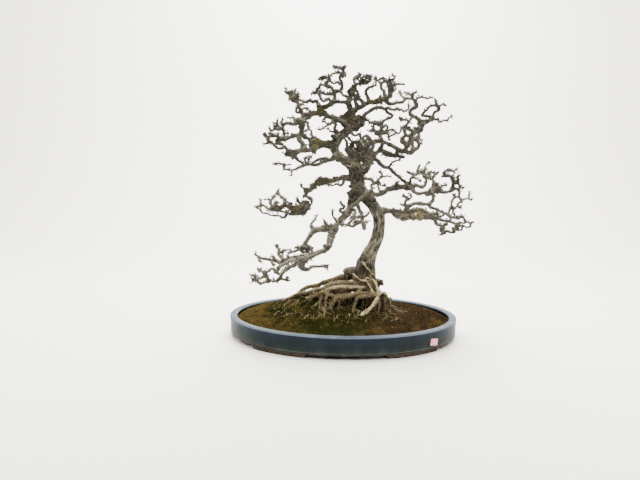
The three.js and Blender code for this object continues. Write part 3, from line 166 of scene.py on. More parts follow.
# Stems: name, what it grows from, radii at its two ends, how far back it ends, then across and up
STEMS: tuple[StemRow, ...] = tuple(stem_rows("""
leader|trunk|15 13 14|26,513 8,525 -10,537 -23,548 -31,560 -34,573 -29,586 -20,600 -5,614 10,623 24,633
  32,644;
knuckle|leader|14 12 19|22,633 36,640 47,641;
crown|leader|14 8.4 22|26,646 19,660 14,674 14,682;
crown shoulder|leader|9.2 6.8 27|6,640 -6,654 -14,662;
knot|leader|11 9.2 -8|-20,541 -28,546 -34,540;
ridge|crown|6.2 5.2 35|8,690 3,702 -15,705 -32,704 -45,701 -60,694 -72,690 -82,690;
ridge end|ridge|5.6 2.8 51|-84,699 -92,707 -101,704 -108,710 -118,703 -128,705 -139,708 -151,704;
apex left|ridge|5.8 2.3 59|-36,713 -35,723 -38,734 -43,744 -52,748 -63,751 -58,760 -53,770 -50,780 -42,788
  -34,788 -26,791;
apex left out|apex left|4.5 2.6 27|-46,728 -58,727 -70,729 -82,733 -93,732 -104,729;
apex left knob|apex left out|5.2 3 19|-84,736 -90,731 -88,740 -80,748;
apex left tuft|apex left|4.2 2.1 76|-60,777 -69,775 -76,771 -82,771;
apex left tip|apex left|3 1.8 46|-66,755 -73,753 -78,757;
hook|ridge|4.5 3 0|-48,708 -55,714 -61,711 -68,706 -75,710 -79,719 -81,729;
shoulder|ridge|2.8 1.8 8|-62,684 -52,690 -42,694;
apex|apex left|5.5 2.2 -11|-28,736 -20,738 -15,746 -13,754 -16,764 -21,773 -20,781 -12,785 -11,793 -10,801
  -8,809;
apex knob|apex|5.7 5.2 -14|-14,782 -7,784;
apex tip|apex|2.8 1.8 -22|-16,800 -24,805 -34,802 -40,806;
apex inner|apex|4.2 2.1 27|-20,757 -27,763 -36,759 -44,760 -50,766;
apex down|apex|3.5 3 -27|-15,732 -9,724 0,720 6,714 9,705;
gnarl left|crown|5.5 4.2 -11|12,694 9,706 13,717 9,729 9,740 18,748;
limb C|crown|7 6 -19|20,676 32,685 44,691 55,698 68,704 84,705 98,707 110,712 122,718 133,723;
gnarl right|limb C|6 2.3 -38|32,694 27,706 31,717 34,730 28,742 25,752 32,758 44,759 51,764 56,773 62,780;
gnarl cross|limb C|5.2 4 -19|48,707 40,713 29,719 20,729 21,741;
gnarl tip a|gnarl right|3.5 2 -5|23,761 22,770 30,775 39,779 37,788;
gnarl tip b|gnarl right|3.3 1.8 -65|41,769 48,777 58,780 68,777 76,779;
gnarl tip c|gnarl right|3 2 -54|57,758 66,763 72,768;
limb C up|limb C|6.3 3 -40|130,734 128,746 127,757 121,767 130,771 140,773 144,781 137,785;
limb C ring|limb C|4.7 4 8|114,727 112,738 105,745 103,756 109,764 120,766;
limb C out|limb C up|4 2.1 -70|138,757 150,758 160,759 169,758;
limb C spur|limb C up|3.3 2.1 -14|135,744 142,739 147,743;
limb C top|limb C ring|3.8 2 35|112,771 104,776 96,771 88,768 84,773;
finger|limb C|5.5 2.4 -54|66,715 61,726 58,737 64,746 75,751 86,755 88,765 87,775;
right top|limb C|5.4 2.1 35|123,705 138,701 153,705 170,707 178,716 190,717 206,714 220,721 232,721 243,718
  254,722;
right top a|right top|3.5 2 59|170,722 163,728 159,737;
right top b|right top|4.2 2.1 14|199,726 203,733 209,735;
right top c|right top b|3.3 2 54|192,728 185,731 177,734;
right chain|right top|5.4 5.8 19|208,705 211,696 203,690 195,684 192,675 200,666 211,662 220,654 222,643
  226,634;
right chain out|right chain|5.2 2 54|236,652 252,654 264,656 274,657 284,650 295,655 305,653 311,663
  319,665;
right chain low|right chain|4 3.3 -11|230,641 241,645 251,651;
right loop|right chain out|4.5 3 14|254,664 241,667 229,669 236,679 245,687 251,696 263,698 274,695;
right loop back|right chain out|4 3.3 8|262,668 268,679 279,684 278,694 271,702 267,714;
right loop tip|right loop back|3 1.8 -14|284,699 292,703 296,698;
limb D|knuckle|6.3 3.8 -49|52,655 57,669 70,678 84,687 97,690 109,689 119,682 128,674 137,669 136,661
  126,658 117,653 108,646 97,641;
limb D out|limb D|4.2 2.1 -84|124,690 138,684 152,685 166,684 178,681 186,686 188,694;
limb D in|limb D|3.5 2.1 -32|86,644 76,643 67,652 60,656;
fork|trunk|13 7.6 -19|52,502 64,510 71,522 73,536 70,550 66,564 64,578;
middle|fork|11 7.6 8|60,541 44,546 28,547 14,550;
middle back|fork|9.2 4 202|60,530 46,540 40,554 52,566 44,578 54,590;
middle rise|middle|4.5 3.5 -19|6,560 4,573 3,585 -3,596;
middle ring a|middle|4.5 2.8 59|26,563 36,573 30,584 18,581 12,571;
middle ring b|fork|4.7 3 54|50,568 48,580 38,588 24,588 12,594 6,604 10,615;
middle ring c|fork|5 3 -49|56,592 44,602 42,612 30,606 20,612;
middle ring d|fork|5.2 3.3 14|74,590 72,601 60,606 48,598;
middle ring e|fork|5.2 3.3 -65|80,566 84,578 78,592 66,597;
middle lump|fork|6.8 5.2 94|56,556 44,562 34,566;
limb E|fork|7.1 6.2 -40|78,585 94,590 108,591 122,586 134,581 148,574 161,566 175,561 189,558 201,557;
limb E end|limb E|6 4.2 -19|209,566 219,572 222,583 217,595 221,609 222,622 227,633;
limb E up|limb E|6.3 5.2 -54|184,573 193,583 196,595 196,607 204,614 212,624 222,632;
limb E cross|limb E|4.5 3.5 -5|203,570 203,583 205,596 214,603;
limb E knob|limb E up|5.5 2.8 -70|203,620 196,625 187,628;
limb E tip|limb E end|3.8 2 -40|229,622 232,632 237,641;
limb E spur|limb E end|3 1.8 -46|226,598 230,590 228,584;
swan|limb E up|6.8 2.8 -89|181,584 171,588 171,599 181,609 177,621 174,633 183,640 188,649 181,655 172,654
  163,657;
swan tip|swan|2.8 1.8 -100|194,653 198,660;
tower|limb E|6 4 11|106,600 103,612 106,625 108,637 103,649;
tower right|tower|4 2.3 -27|114,613 124,616 131,623 143,625 150,618 160,614 166,621 166,631;
tower right low|tower right|3.5 2.1 0|128,611 131,601 132,594;
tower right mid|tower right|3.3 2.6 -46|132,606 141,609 149,615;
tower ring|tower|3.8 2.6 35|114,632 121,638 126,631 120,622 112,617;
tower left|tower|4 2.1 30|95,610 87,619 79,622 70,620;
tower left up|tower left|2.8 1.8 40|84,628 80,634;
tower top|tower|3.5 2.1 -19|98,637 92,644 84,640;
limb F|fork|7.6 5.2 49|84,548 94,556 105,562 118,560 132,555 146,551 160,550 170,544 178,544;
tower foot|limb F|6 5.5 -27|106,570 112,582 108,592;
limb F low|limb F|3.6 2.8 73|116,553 130,547 146,545 162,544 174,543;
limb F knob|limb F|4.4 2.4 27|155,557 163,562 172,555;
limb G|fork|6.8 5 81|86,537 97,533 106,523 117,513 130,512 138,507 146,499 156,490 167,482 178,472 190,463;
limb G spur|limb G|3.5 2.1 5|136,518 142,526 153,532 166,533;
nest|trunk|5.2 2.3 -46|58,478 70,477 84,473 92,466 100,464 101,474 110,482 112,491 107,496;
nest in|nest|4 2.3 -65|88,461 80,458 84,449;
nest out|nest|3 1.8 -32|118,484 128,486 137,485;
nest down|nest|3.3 2.3 -27|102,454 104,444 112,437;
nest side|nest|2.8 1.8 -68|106,460 114,456 120,457;
limb U|leader|8.7 6.8 40|4,634 -12,645 -28,654 -45,660 -62,667 -80,671 -98,669 -114,667 -127,664;
limb U hump|limb U|7.6 6 38|-68,672 -80,680 -84,690;
limb U end|limb U|6 2.2 54|-134,672 -139,683 -146,690 -143,699 -152,703 -162,706 -168,717 -162,727 -172,728
  -181,731 -180,742;
limb U tuft|limb U end|4.5 2.1 70|-152,709 -144,716 -150,725 -156,730 -152,739;
limb U tuft low|limb U end|4 2.8 27|-158,713 -150,719 -144,722;
limb U ring|limb U end|3.8 3 22|-142,673 -150,674 -150,684 -144,691;
limb U spur a|limb U end|3.5 2 76|-130,683 -120,686 -114,680;
limb U spur b|limb U end|3.3 1.8 30|-136,696 -128,696;
limb U under|limb U|5.2 4.7 30|-108,661 -120,654 -130,648;
limb U under tip|limb U|5.2 2.8 14|-132,658 -142,652 -151,646;
curl|limb U|4.5 4 11|-40,646 -31,639 -34,628 -33,620 -24,613 -14,610;
curl out|curl|3.8 2.1 -27|-48,639 -60,633 -70,626 -81,622;
curl spur|curl out|2.8 1.8 -8|-57,640 -64,645;
curl low|curl|3.3 2.1 35|-36,617 -46,619 -53,625;
limb U drop|limb U|3.3 2.1 59|-62,656 -70,652 -68,645;
limb M|leader|11 7.1 -46|-50,577 -65,578 -80,575 -94,569 -106,562 -118,560 -132,560 -145,557;
limb M knob|limb M|8.4 7.6 -49|-92,566 -98,558;
limb M hump|limb M|9.2 6.8 -22|-78,580 -90,585 -102,582;
limb M out|limb M|6.3 2.2 -84|-158,555 -168,556 -178,562 -185,571 -193,577 -206,578 -220,578 -232,581
  -245,578;
limb M low|limb M|6.8 5.7 -27|-156,551 -168,547 -182,547;
limb M low knob|limb M low|6.3 4.5 -14|-162,542 -156,537;
limb M foot|limb M|5 3.5 35|-150,548 -150,538 -144,530 -134,525 -128,519;
limb M under|limb M out|4.2 2.8 -100|-190,567 -202,565 -214,570;
limb M pad|limb M out|5.7 2.8 -81|-206,587 -203,598 -213,603 -224,601 -229,608;
limb M pad in|limb M out|5.2 3.3 -54|-200,586 -196,594 -186,594 -176,597;
limb M pad out|limb M pad|3.8 2 -108|-233,598 -236,589 -235,582;
limb M pad tip|limb M pad out|2.8 1.8 -122|-240,600 -246,607;
post|limb M|7.9 7.3 -22|-128,571 -132,583 -141,594 -142,604 -136,614 -132,626 -131,640 -134,648;
post brace|post|6.3 5.2 -14|-124,601 -111,594 -98,588;
post brace ring|post brace|2.8 2.1 5|-98,599 -91,601 -87,592;
post left|post|6.3 3.5 19|-144,643 -154,638 -165,638 -176,641 -186,637 -190,627 -188,616 -186,606 -185,599;
post left up|post left|4.2 2.2 -5|-155,648 -157,658 -168,656 -173,657;
post left top|post|5.5 4.2 -40|-142,650 -151,652 -153,643;
post left out|post left|4 2.1 40|-196,622 -205,620 -214,622 -224,617 -232,623;
post left tuft|post left out|4 2.1 27|-203,629 -208,637 -206,646;
post left tuft b|post left tuft|3.3 1.8 11|-211,634 -216,630 -217,638;
post left tip|post left|3.5 1.8 -11|-194,636 -194,645 -192,652;
post left spur|post left|3.3 2.1 32|-180,611 -174,610;
post low|post|5.4 4 -51|-154,604 -166,600 -176,594 -186,592;
post right|post|4.2 2.8 -49|-120,646 -115,635 -113,626 -105,619 -102,609 -101,598;
post right spur|post right|2.8 2.1 -70|-118,618 -124,616;
limb N|knot|5.5 2.2 65|-44,533 -56,531 -68,526 -80,520 -92,517 -104,518 -116,517 -128,513 -141,508 -152,503
  -163,500 -175,502 -187,505 -189,515 -197,520 -203,521 -208,516 -218,518;
limb N twin|limb N|4.5 3.5 11|-56,536 -68,536 -80,534 -90,529 -99,522;
limb N spur a|limb N|2.8 1.8 54|-180,515 -170,517;
limb N spur b|limb N|3.3 1.8 27|-164,492 -163,485;
limb N spur c|limb N|3.8 2.1 5|-121,526 -122,535 -118,541;
limb N spur d|limb N|3.5 2 59|-114,527 -110,536 -103,541;
limb L|trunk|9.2 6.8 78|8,479 -8,480 -24,475 -38,470 -52,467 -66,465 -80,461 -92,455 -101,446;
limb L hump|limb L|7.9 6 68|-66,468 -76,470 -86,464;
limb L zigzag|limb L|4.8 3.8 89|-107,439 -117,432 -122,424 -112,418 -102,411 -101,401 -108,392;
limb L pad|limb L zigzag|5.4 4.6 94|-118,389 -132,388 -146,385 -160,383 -174,388 -184,397;
limb L pad low|limb L zigzag|5 2.4 124|-118,378 -130,369 -146,367 -162,366 -176,370 -190,374 -204,376
  -217,376 -229,381 -241,387 -252,392 -262,389 -272,386;
limb L pad fill|limb L pad|4.8 4 103|-130,379 -144,376 -156,374;
limb L pad top|limb L zigzag|4.7 2.1 113|-114,399 -126,402 -138,401 -145,406 -146,416;
limb L pad mid|limb L pad|5.2 4 119|-190,388 -202,383 -214,379;
limb L tip|limb L pad low|3.5 2 140|-256,399 -259,408;
limb L under|limb L pad low|4 2.1 81|-179,361 -187,355 -198,360 -211,362 -224,361 -234,366 -243,368
  -252,369 -258,378 -266,385;
limb L rise|limb L pad|5.4 2 130|-183,404 -187,414 -195,421 -201,429 -203,440;
limb L rise tip|limb L rise|2.8 1.8 148|-203,426 -210,430;
limb L rise in|limb L rise|4 3.3 81|-176,404 -168,398 -160,391;
limb L far|limb L pad low|4.5 2 94|-220,386 -226,396 -227,406 -236,411 -244,409;
limb L far tip|limb L far|2.8 1.7 81|-222,413 -214,418;
limb L far in|limb L pad low|3.5 2.1 148|-207,385 -213,394 -206,401;
limb L spur|limb L zigzag|3.5 2.1 54|-116,445 -128,446 -132,455;
limb L hanging|limb L|4 2.3 22|-4,466 -13,455 -25,460 -36,456 -48,458;
limb K|trunk|13 7.9 -70|34,436 24,422 20,405 17,389 9,373 -3,358 -14,345 -26,334 -40,326 -56,322 -72,321
  -87,318;
limb K shoulder|trunk|9.2 6.8 -43|62,424 46,414 32,416;
limb K out|limb K|7.6 5.2 -81|-98,311 -106,299 -113,287 -120,277 -123,267;
limb K pale|trunk|5.5 4.5 -59|82,442 70,434 57,423 46,413 36,404 27,395;
limb K down|limb K|9.2 6.2 -140|-35,318 -42,302 -45,286 -44,272 -52,260 -64,254 -77,249 -89,243 -99,236
  -110,230 -124,226;
limb K down twin|limb K|7.1 5.7 -81|-24,322 -31,306 -36,290 -41,276;
limb K stub|limb K down|6 5.5 -130|-52,270 -60,270;
limb K loop|limb K|4.7 2.3 -68|6,377 -6,374 -14,377 -12,385 -3,386 0,393 -8,396 -12,403;
limb K spur a|limb K|3.5 2 -84|-27,350 -34,360 -38,369 -37,378;
limb K spur b|limb K|3.5 2.2 -94|-55,333 -58,341 -62,347;
limb K spur c|limb K|4.2 2 -40|-98,324 -103,334 -97,344 -90,352 -86,360;
tassel|limb K pale|5.7 5.4 -89|41,395 45,384 51,373 55,361 55,349 59,338 62,325;
tassel out|tassel|4 2.3 -108|62,362 70,366 76,371;
tassel spur|tassel|3.3 2.2 -68|63,345 71,344;
tassel top|limb K|4.7 4.2 -84|27,383 33,372 28,364 21,358;
tassel arch|tassel|4.5 2.8 -113|44,360 33,358 24,350 14,341 6,334;
tassel base|tassel|5 2.6 -94|46,344 37,338 27,331 14,334 2,336 -8,332;
tassel knob|tassel base|6 5.2 -100|40,345 34,347;
tassel tip|limb K|3.5 2.3 -100|-2,348 -5,340 -3,333;
limb K ring|limb K out|4.7 3.5 -100|-114,262 -105,266 -99,257 -99,245 -101,236;
limb K wave|limb K out|5.7 2.8 -54|-113,258 -110,250 -118,246 -129,252 -139,257 -149,252 -160,249 -172,245;
limb K wave tip|limb K wave|2.8 1.8 -35|-164,254 -173,256 -179,253;
limb K fan|limb K out|3.5 2 -108|-130,267 -138,263 -148,265;
limb K upper|limb K down|6 4.7 -113|-112,236 -126,238 -138,234 -150,234 -163,231 -176,227 -187,222 -193,213;
limb K pad|limb K down|8.4 6 -148|-114,226 -127,223 -138,222;
limb K middle|limb K down|5.7 4.2 -173|-138,228 -151,223 -164,222 -176,216 -188,208 -200,203;
limb K horn|limb K upper|5.5 2.1 -94|-192,232 -200,240 -198,250 -203,259 -209,268;
limb K horn spur|limb K horn|3.3 2 -78|-192,248 -187,252;
limb K far|limb K upper|5.2 2.1 -130|-200,216 -210,222 -222,222 -234,225 -246,227 -256,230 -265,235
  -275,241;
limb K far spur a|limb K far|4 2.3 -148|-221,214 -217,208;
limb K far spur b|limb K far|3 2 -113|-218,229 -222,235;
limb K far spur c|limb K far|3.3 2.2 -146|-259,225 -264,221 -258,218;
limb K cross|limb K middle|4.7 2.1 -189|-203,194 -212,191 -221,197 -232,189 -243,184 -254,188 -264,193;
limb K cross low|limb K cross|4.5 3.3 -176|-210,186 -201,181 -193,176;
limb K low|limb K pad|5.5 2.2 -130|-146,212 -155,206 -165,203 -175,196 -185,186 -193,177 -194,167 -202,160
  -214,157 -227,157 -239,154 -250,149 -259,146;
limb K low spur|limb K low|3.3 2 -108|-186,162 -178,161 -168,160;
limb K low spur b|limb K low spur|3.5 2.8 -105|-175,166;
limb K low tip|limb K low|3 1.8 -140|-257,150 -265,154;
limb K bridge|limb K low|5 3.8 -170|-236,163 -236,173 -242,181;
limb K bridge out|limb K bridge|4 2.2 -186|-248,170 -259,165 -271,160 -282,155;
limb K bridge tip|limb K bridge out|3 1.8 -202|-279,164 -272,171 -281,175;
limb K right|limb K pad|5.7 2.8 -103|-134,212 -136,204 -126,197 -116,193 -107,197 -97,204 -85,204 -72,205
  -60,204 -51,199;
limb K right tip|limb K right|3.3 2.3 -94|-58,209 -50,207;
limb K right knob|limb K pad|6 4.5 -124|-126,212 -130,206;
limb A|trunk|7.9 6.8 54|78,434 92,430 106,430 118,434 128,442 142,447 156,449 170,452 184,454;
limb A elbow|limb A|6.8 5.5 22|112,436 122,441 128,448;
limb A pad|limb A|8.4 7.6 59|186,453 198,451 206,454;
limb A left|limb A|4 2.3 27|168,457 158,456 155,464 162,468;
limb A rise|limb A pad|5.5 2.1 89|214,460 226,456 236,453 244,460 248,472 246,485 242,497 243,509 246,519
  252,528;
limb A run|limb A pad|6 5.5 105|208,445 217,437 228,434 240,436 252,440 264,441 278,442 292,440 305,439
  318,441 329,446;
limb A pad b|limb A run|7.6 6 81|252,434 262,437 276,446 290,447;
limb A pad c|limb A run|6.8 5.2 130|268,448 280,452 294,447;
limb A post|limb A run|5.8 4 84|330,458 330,470 326,481 318,489 307,488 296,487;
limb A post tip|limb A post|4 2 70|303,497 307,505 318,504 329,503 339,507;
limb A post a|limb A post|3.8 2.6 108|338,474 345,475;
limb A post b|limb A post|3.5 2 54|339,465 345,473 343,482 348,489;
limb A post c|limb A post|3 1.8 97|330,489 332,496;
limb A drop|limb A run|4.5 2.1 68|339,450 348,447 350,436 350,424 359,418 369,419 379,420 389,417;
limb A drop a|limb A drop|3.3 2 40|353,455 360,453;
limb A drop b|limb A drop|3 1.8 81|350,456 347,464;
limb A drop tip|limb A drop|3 1.8 81|381,429 380,439;
limb A drop in|limb A drop|3.5 2.8 49|341,426 334,433;
limb A hang|limb A drop|3.8 2.3 27|360,411 350,407 346,397 337,392 327,394;
limb A hang out|limb A hang|2.8 1.8 11|352,392 359,393;
limb A hang low|limb A hang|3.5 2.2 16|334,384 334,375 339,369 334,363 345,361 353,364;
limb A plumb|limb A drop in|3.8 2.8 8|332,419 328,408 327,396 322,385 321,373 326,363 326,353;
limb A crest|limb A run|5.2 2.8 132|270,455 273,466 266,476 255,480 246,484;
limb A crest b|limb A crest|3.8 2.1 119|269,485 275,493 281,500;
limb A crest c|limb A crest|3.8 2.1 148|259,489 253,497 262,500 271,496 280,492;
limb A fringe a|limb A run|3.5 2.1 143|281,455 282,464;
limb A fringe b|limb A run|3.5 1.8 81|288,453 297,460 309,461;
limb A crown|limb A pad|5.4 2.2 46|199,466 200,478 207,487 200,494 192,497;
limb A crown b|limb A crown|4.2 2.1 22|210,483 220,479 227,475;
limb A crown c|limb A crown|4.5 2.8 76|215,493 224,498 234,503 243,507;
limb A crown d|limb A crown c|3.3 1.8 62|219,504 223,511 227,516;
limb A crown e|limb A crown c|3.5 2.8 54|236,493 242,485;
limb B|trunk|9.7 7.1 -70|118,382 132,382 145,379 155,370 168,364 182,363 196,363 210,360;
limb B upper|limb B|6.8 6 -40|156,378 172,375 188,374 203,376 216,382 230,384;
limb B knob|limb B|6.8 5.7 -73|178,360 188,359;
limb B pad|limb B|6.8 5 -89|222,361 236,361 250,362 262,364;
limb B pad back|limb B upper|5.6 4.6 -76|240,378 250,373 260,368;
limb B arch|limb B upper|6 5.7 -11|190,384 196,394 207,401 220,404 234,403 248,402 261,405 270,413 271,425
  266,436 259,444;
limb B fork|limb B upper|5.2 2.1 -76|190,388 186,399 187,410 195,416 203,422 201,432;
limb B fork a|limb B fork|3.5 1.8 -94|191,418 186,425 178,425;
limb B fork b|limb B fork|3 1.8 -46|180,397 172,399;
limb B sweep|limb B arch|4.7 2.3 -54|262,394 274,390 287,384 299,379 311,374 320,366 332,361 345,362;
limb B ring|limb B pad|4.7 3 -76|272,371 284,372 290,364 299,366 306,371 300,378;
limb B out|limb B pad|5.2 2.1 -119|274,361 287,358 299,353 314,352 329,348 343,343 357,347 369,345 378,349
  385,346;
limb B out low|limb B out|3.5 1.8 -140|351,337 366,337 378,332 388,336 392,346;
limb B out ring|limb B out|3.3 2 -100|372,354 366,362 356,365 351,358;
limb B low|limb B pad|5 2.8 -113|279,353 281,343 292,338 304,336 311,340;
limb B low a|limb B low|3.8 2.3 -100|304,328 298,323;
limb B low b|limb B low|4 2.1 -135|305,326 302,318 307,312 298,308;
limb B low c|limb B low b|3.8 2.1 -157|316,320 329,317 341,317 344,325 353,322 361,326;
limb B low d|limb B low c|4 2.6 -140|336,326 345,334 352,341
"""))

# Dense tufts of short spurs as seen from the front: across, up, reach across and up, how many, and length
TUFTS: Rows = number_rows("""
-163,718,21,20,60,9 -65,769,18,17,45,8 -88,733,18,9,26,7 -26,798,18,15,40,8 -11,787,14,15,34,6
-208,629,21,15,46,9 -133,683,17,12,20,6 43,773,28,15,55,9 64,761,12,11,18,7 124,762,25,21,70,9
161,730,9,9,12,6 191,726,18,9,34,7 20,726,15,25,70,6 95,706,25,12,60,4 131,733,9,15,24,6
147,685,11,6,14,4 79,647,20,12,30,7 100,630,21,18,46,7 172,651,12,14,16,7 200,625,28,15,40,7
-229,596,17,20,34,7 -205,590,14,12,40,6 -171,549,18,12,30,6 -116,536,11,11,14,7 -195,516,25,9,14,6
-63,598,9,9,12,6 -90,598,9,9,10,6 -53,475,12,9,18,6 -82,459,25,17,60,8 -122,450,12,8,8,6
-112,420,15,15,26,7 -204,434,11,11,12,6 -149,382,37,18,150,9 -238,387,31,18,70,9 -201,403,28,17,60,9
-130,401,25,12,40,8 -68,325,34,15,120,6 -11,387,11,12,14,6 -43,288,12,28,60,3.5 -123,234,25,37,120,8
-194,252,15,14,26,8 -197,230,15,15,30,7 -238,226,28,11,26,6 -250,189,15,11,24,7 -272,166,15,12,26,7
-178,166,9,6,8,5 -126,200,18,11,30,6 -54,207,8,6,6,5 110,491,12,9,12,6 201,492,11,14,22,7
228,503,15,12,36,8 259,488,20,18,66,8 310,499,18,11,36,7 339,468,14,21,50,7 278,455,20,15,90,5.5
190,457,15,12,50,3.5 188,422,12,9,16,6 186,396,9,12,14,6 229,370,37,18,190,4.5 168,371,18,12,50,4
305,329,14,15,40,7 338,330,15,9,26,6 350,358,18,12,24,6 41,563,34,28,220,6.5 192,577,18,25,50,6
156,464,9,8,12,5 92,471,15,11,18,6 -76,670,26,12,90,3.4 -77,580,31,14,90,3.2 16,448,12,18,40,3
-82,462,28,18,130,7 -52,472,21,15,70,6 -136,383,28,18,110,8 -213,388,25,18,80,8 229,372,40,18,150,6.5
177,374,25,15,60,6 278,455,25,18,70,7 144,453,18,15,50,5 16,442,25,25,80,4.5 33,485,25,21,60,4
85,237,18,25,40,2.5 17,726,21,28,80,6 43,773,28,18,50,7 -49,740,28,18,40,8 -140,791,15,12,10,6
-80,763,25,25,40,7 101,715,18,15,50,5 206,619,18,28,60,5 10,793,15,15,20,6 -11,792,12,18,30,6
-64,725,31,25,50,6 88,609,18,18,40,6 32,563,37,31,80,5 -169,721,15,21,60,5 -172,700,15,15,30,5
260,464,49,25,60,6 -253,625,25,25,40,5 248,372,43,15,90,6 208,365,37,15,50,8
""")

# Knots in the thick wood as seen from the front: across, up and radius
KNOTS: Rows = number_rows("""
-15,658,7 3,670,8 15,649,9 33,661,8 48,647,8 0,637,7 31,632,8 -25,546,12.5 -98,562,8.5 15,497,9 45,503,8
21,473,8.5 52,479,7 208,371,8 229,367,9 251,372,7.5 171,371,7.5 -46,300,7 -40,279,6.5 -68,325,7.5
-87,322,6.5 -174,549,7 190,457,7.5 279,452,8.5 20,735,6.5 20,714,6.5 -149,382,7 -127,383,7 95,709,7.5
119,715,6.5 81,525,7 -6,482,9 -30,478,8.5 -55,472,8.5 -79,463,9 -103,456,8.5 -122,441,7.5 -125,419,6.5
-32,574,8.5 -56,580,8.5 -80,580,9 -105,577,8 -132,570,7.5 20,575,9 38,563,10 59,573,9 29,542,10 54,543,9
74,558,8 11,557,8 -121,671,7 -100,669,7.5 -75,666,8 -51,660,7.5 -27,655,7.5 -189,388,7 -167,385,7.5
-213,391,6.5 -109,389,6.5 26,551,14 47,545,14 36,533,12 63,540,11 14,566,10 68,558,9 113,156,10
130,112,10.5 90,133,8 161,380,6.5 189,377,7 210,384,6 236,356,7 263,366,7 281,378,5.5 223,390,5.5
30,485,12 49,491,10 22,452,9 37,440,9 10,433,8 32,421,9 8,201,8 63,221,8 45,195,9 77,183,9 162,462,7
-100,450,6 144,453,9 156,450,8.5 264,445,7.5 285,449,7.5 275,464,7 -136,376,6.5 -155,370,6 -176,373,6
-127,395,6 -146,398,5.5 -210,379,5.5 -225,388,5.5 -201,388,5 250,387,5.5 199,362,6.5 177,365,6.5
155,377,6 276,360,6 -135,630,7.5 -132,612,7.5 122,376,8.5 -82,469,9 -61,475,8 14,545,8 2,563,7 62,573,8
81,558,8 43,593,7 19,584,7 78,540,7 92,712,8 104,709,9 113,718,7 101,724,6 209,631,6.5 215,616,7
204,601,7 217,643,6 180,592,6.5 191,607,5.5 17,735,8 22,749,7 29,717,7.5 -3,664,9 18,670,9 42,664,8.5
51,647,9 34,632,10 6,640,9 -85,681,7 -109,677,7 -73,672,6 82,218,7 115,161,8 109,146,7 62,135,9 91,114,8
147,105,8 -132,645,7 -129,633,8 -129,621,8 -132,609,7.5 -138,597,6 -26,613,11 -35,601,11 -44,583,11
208,374,5 223,359,5 238,378,5.5 263,369,6 285,372,5.5 294,357,5 164,380,5 193,353,5
""")


class Cover(Enum):
    """Moss, lichen, painted shade and painted light in patches seen from the front: across, up, reach and
    strength.
    """

    MOSS = number_rows("""
        -76,670,31,1 -74,580,40,1 -223,593,28,0.7 16,452,25,0.8 -82,459,31,0.65 95,706,28,0.75 21,658,43,0.5
        29,533,31,0.45 -253,393,37,0.6 -189,391,31,0.55 191,725,18,0.55 190,457,18,0.6 -253,217,28,0.35
        -49,469,25,0.6 -165,546,25,0.6 -235,560,25,0.4
    """)
    GOLD = number_rows("""
        229,370,43,0.52 183,374,28,0.42 -146,385,37,0.46 -229,397,43,0.4 -43,288,25,0.42 -123,234,31,0.34
        -68,325,31,0.36 -163,715,21,0.4 -19,548,15,0.36 279,452,28,0.3 85,240,28,0.46 28,449,21,0.36
        109,123,12,0.7
    """)
    # Painted shade: darker bark in these patches
    DARK = number_rows("""
        41,554,52,0.6 33,485,40,0.84 18,658,55,0.7 -15,628,40,0.86 -44,592,40,0.86 -50,559,34,0.76
        -4,696,261,0.5 -214,575,111,0.54 -132,627,34,0.66 237,684,111,0.48 -98,562,15,0.5 141,565,86,0.56
        22,427,43,0.76 66,397,37,0.7 92,327,43,0.24 168,459,31,0.5 150,453,18,0.5 272,455,28,0.5
        326,483,68,0.5 -28,548,25,0.5 64,196,46,0.8 115,155,18,0.7 141,92,43,0.6 69,91,49,0.5 10,90,49,0.5
        27,164,43,0.66 -137,459,49,0.36 146,383,25,0.5 332,339,80,0.42 -167,382,49,0.3 -51,411,49,0.3
        -228,208,92,0.16 -16,533,37,0.42 -47,93,28,0.5
    """)
    # Painted light: paler bark in these patches
    LIGHT = number_rows("""
        -182,218,80,0.42 -253,173,49,0.36 -52,294,34,0.34 93,552,21,0.4 84,413,18,0.3 326,330,49,0.2
        -28,344,37,0.25
    """)

    def at(self, seen: Array) -> Array:
        """Give how strong it is at places given as seen from the front, 0 to 1.

        Args:
            seen: Across and up, one place a row.

        Returns:
            One value a place.
        """
        total = np.zeros(len(seen))
        for across, up, reach, strength in self.value:
            off = np.hypot(seen[:, 0] - across, seen[:, 1] - up) / reach
            total = np.maximum(total, strength * np.clip(1.25 - off, 0, 1))
        return total


def rise(values: Array, start: float, end: float) -> Array:
    """Go evenly from 0 at start to 1 at end, which may lie below start."""
    return np.clip((values - start) / (end - start), 0.0, 1.0)


def unit(vectors: Array) -> Array:
    """Give vectors a length of one."""
    return vectors / np.maximum(np.linalg.norm(vectors, axis=-1, keepdims=True), 1e-9)


def place(across: float, up: float, back: float) -> Array:
    """Give the place of a point that is seen at across and up and lies so far back, in millimetres."""
    seen = np.array((across, 0.0, up))
    return EYE + (seen - EYE) * (1 - back / EYE[1]) + LIFT


def as_seen(places: Array) -> Array:
    """Give each place's across and up as seen from the front, in millimetres."""
    share = -EYE[1] / (places[:, 1] - EYE[1])
    flat = EYE + (places - LIFT - EYE) * share[:, None]
    return flat[:, (0, 2)]


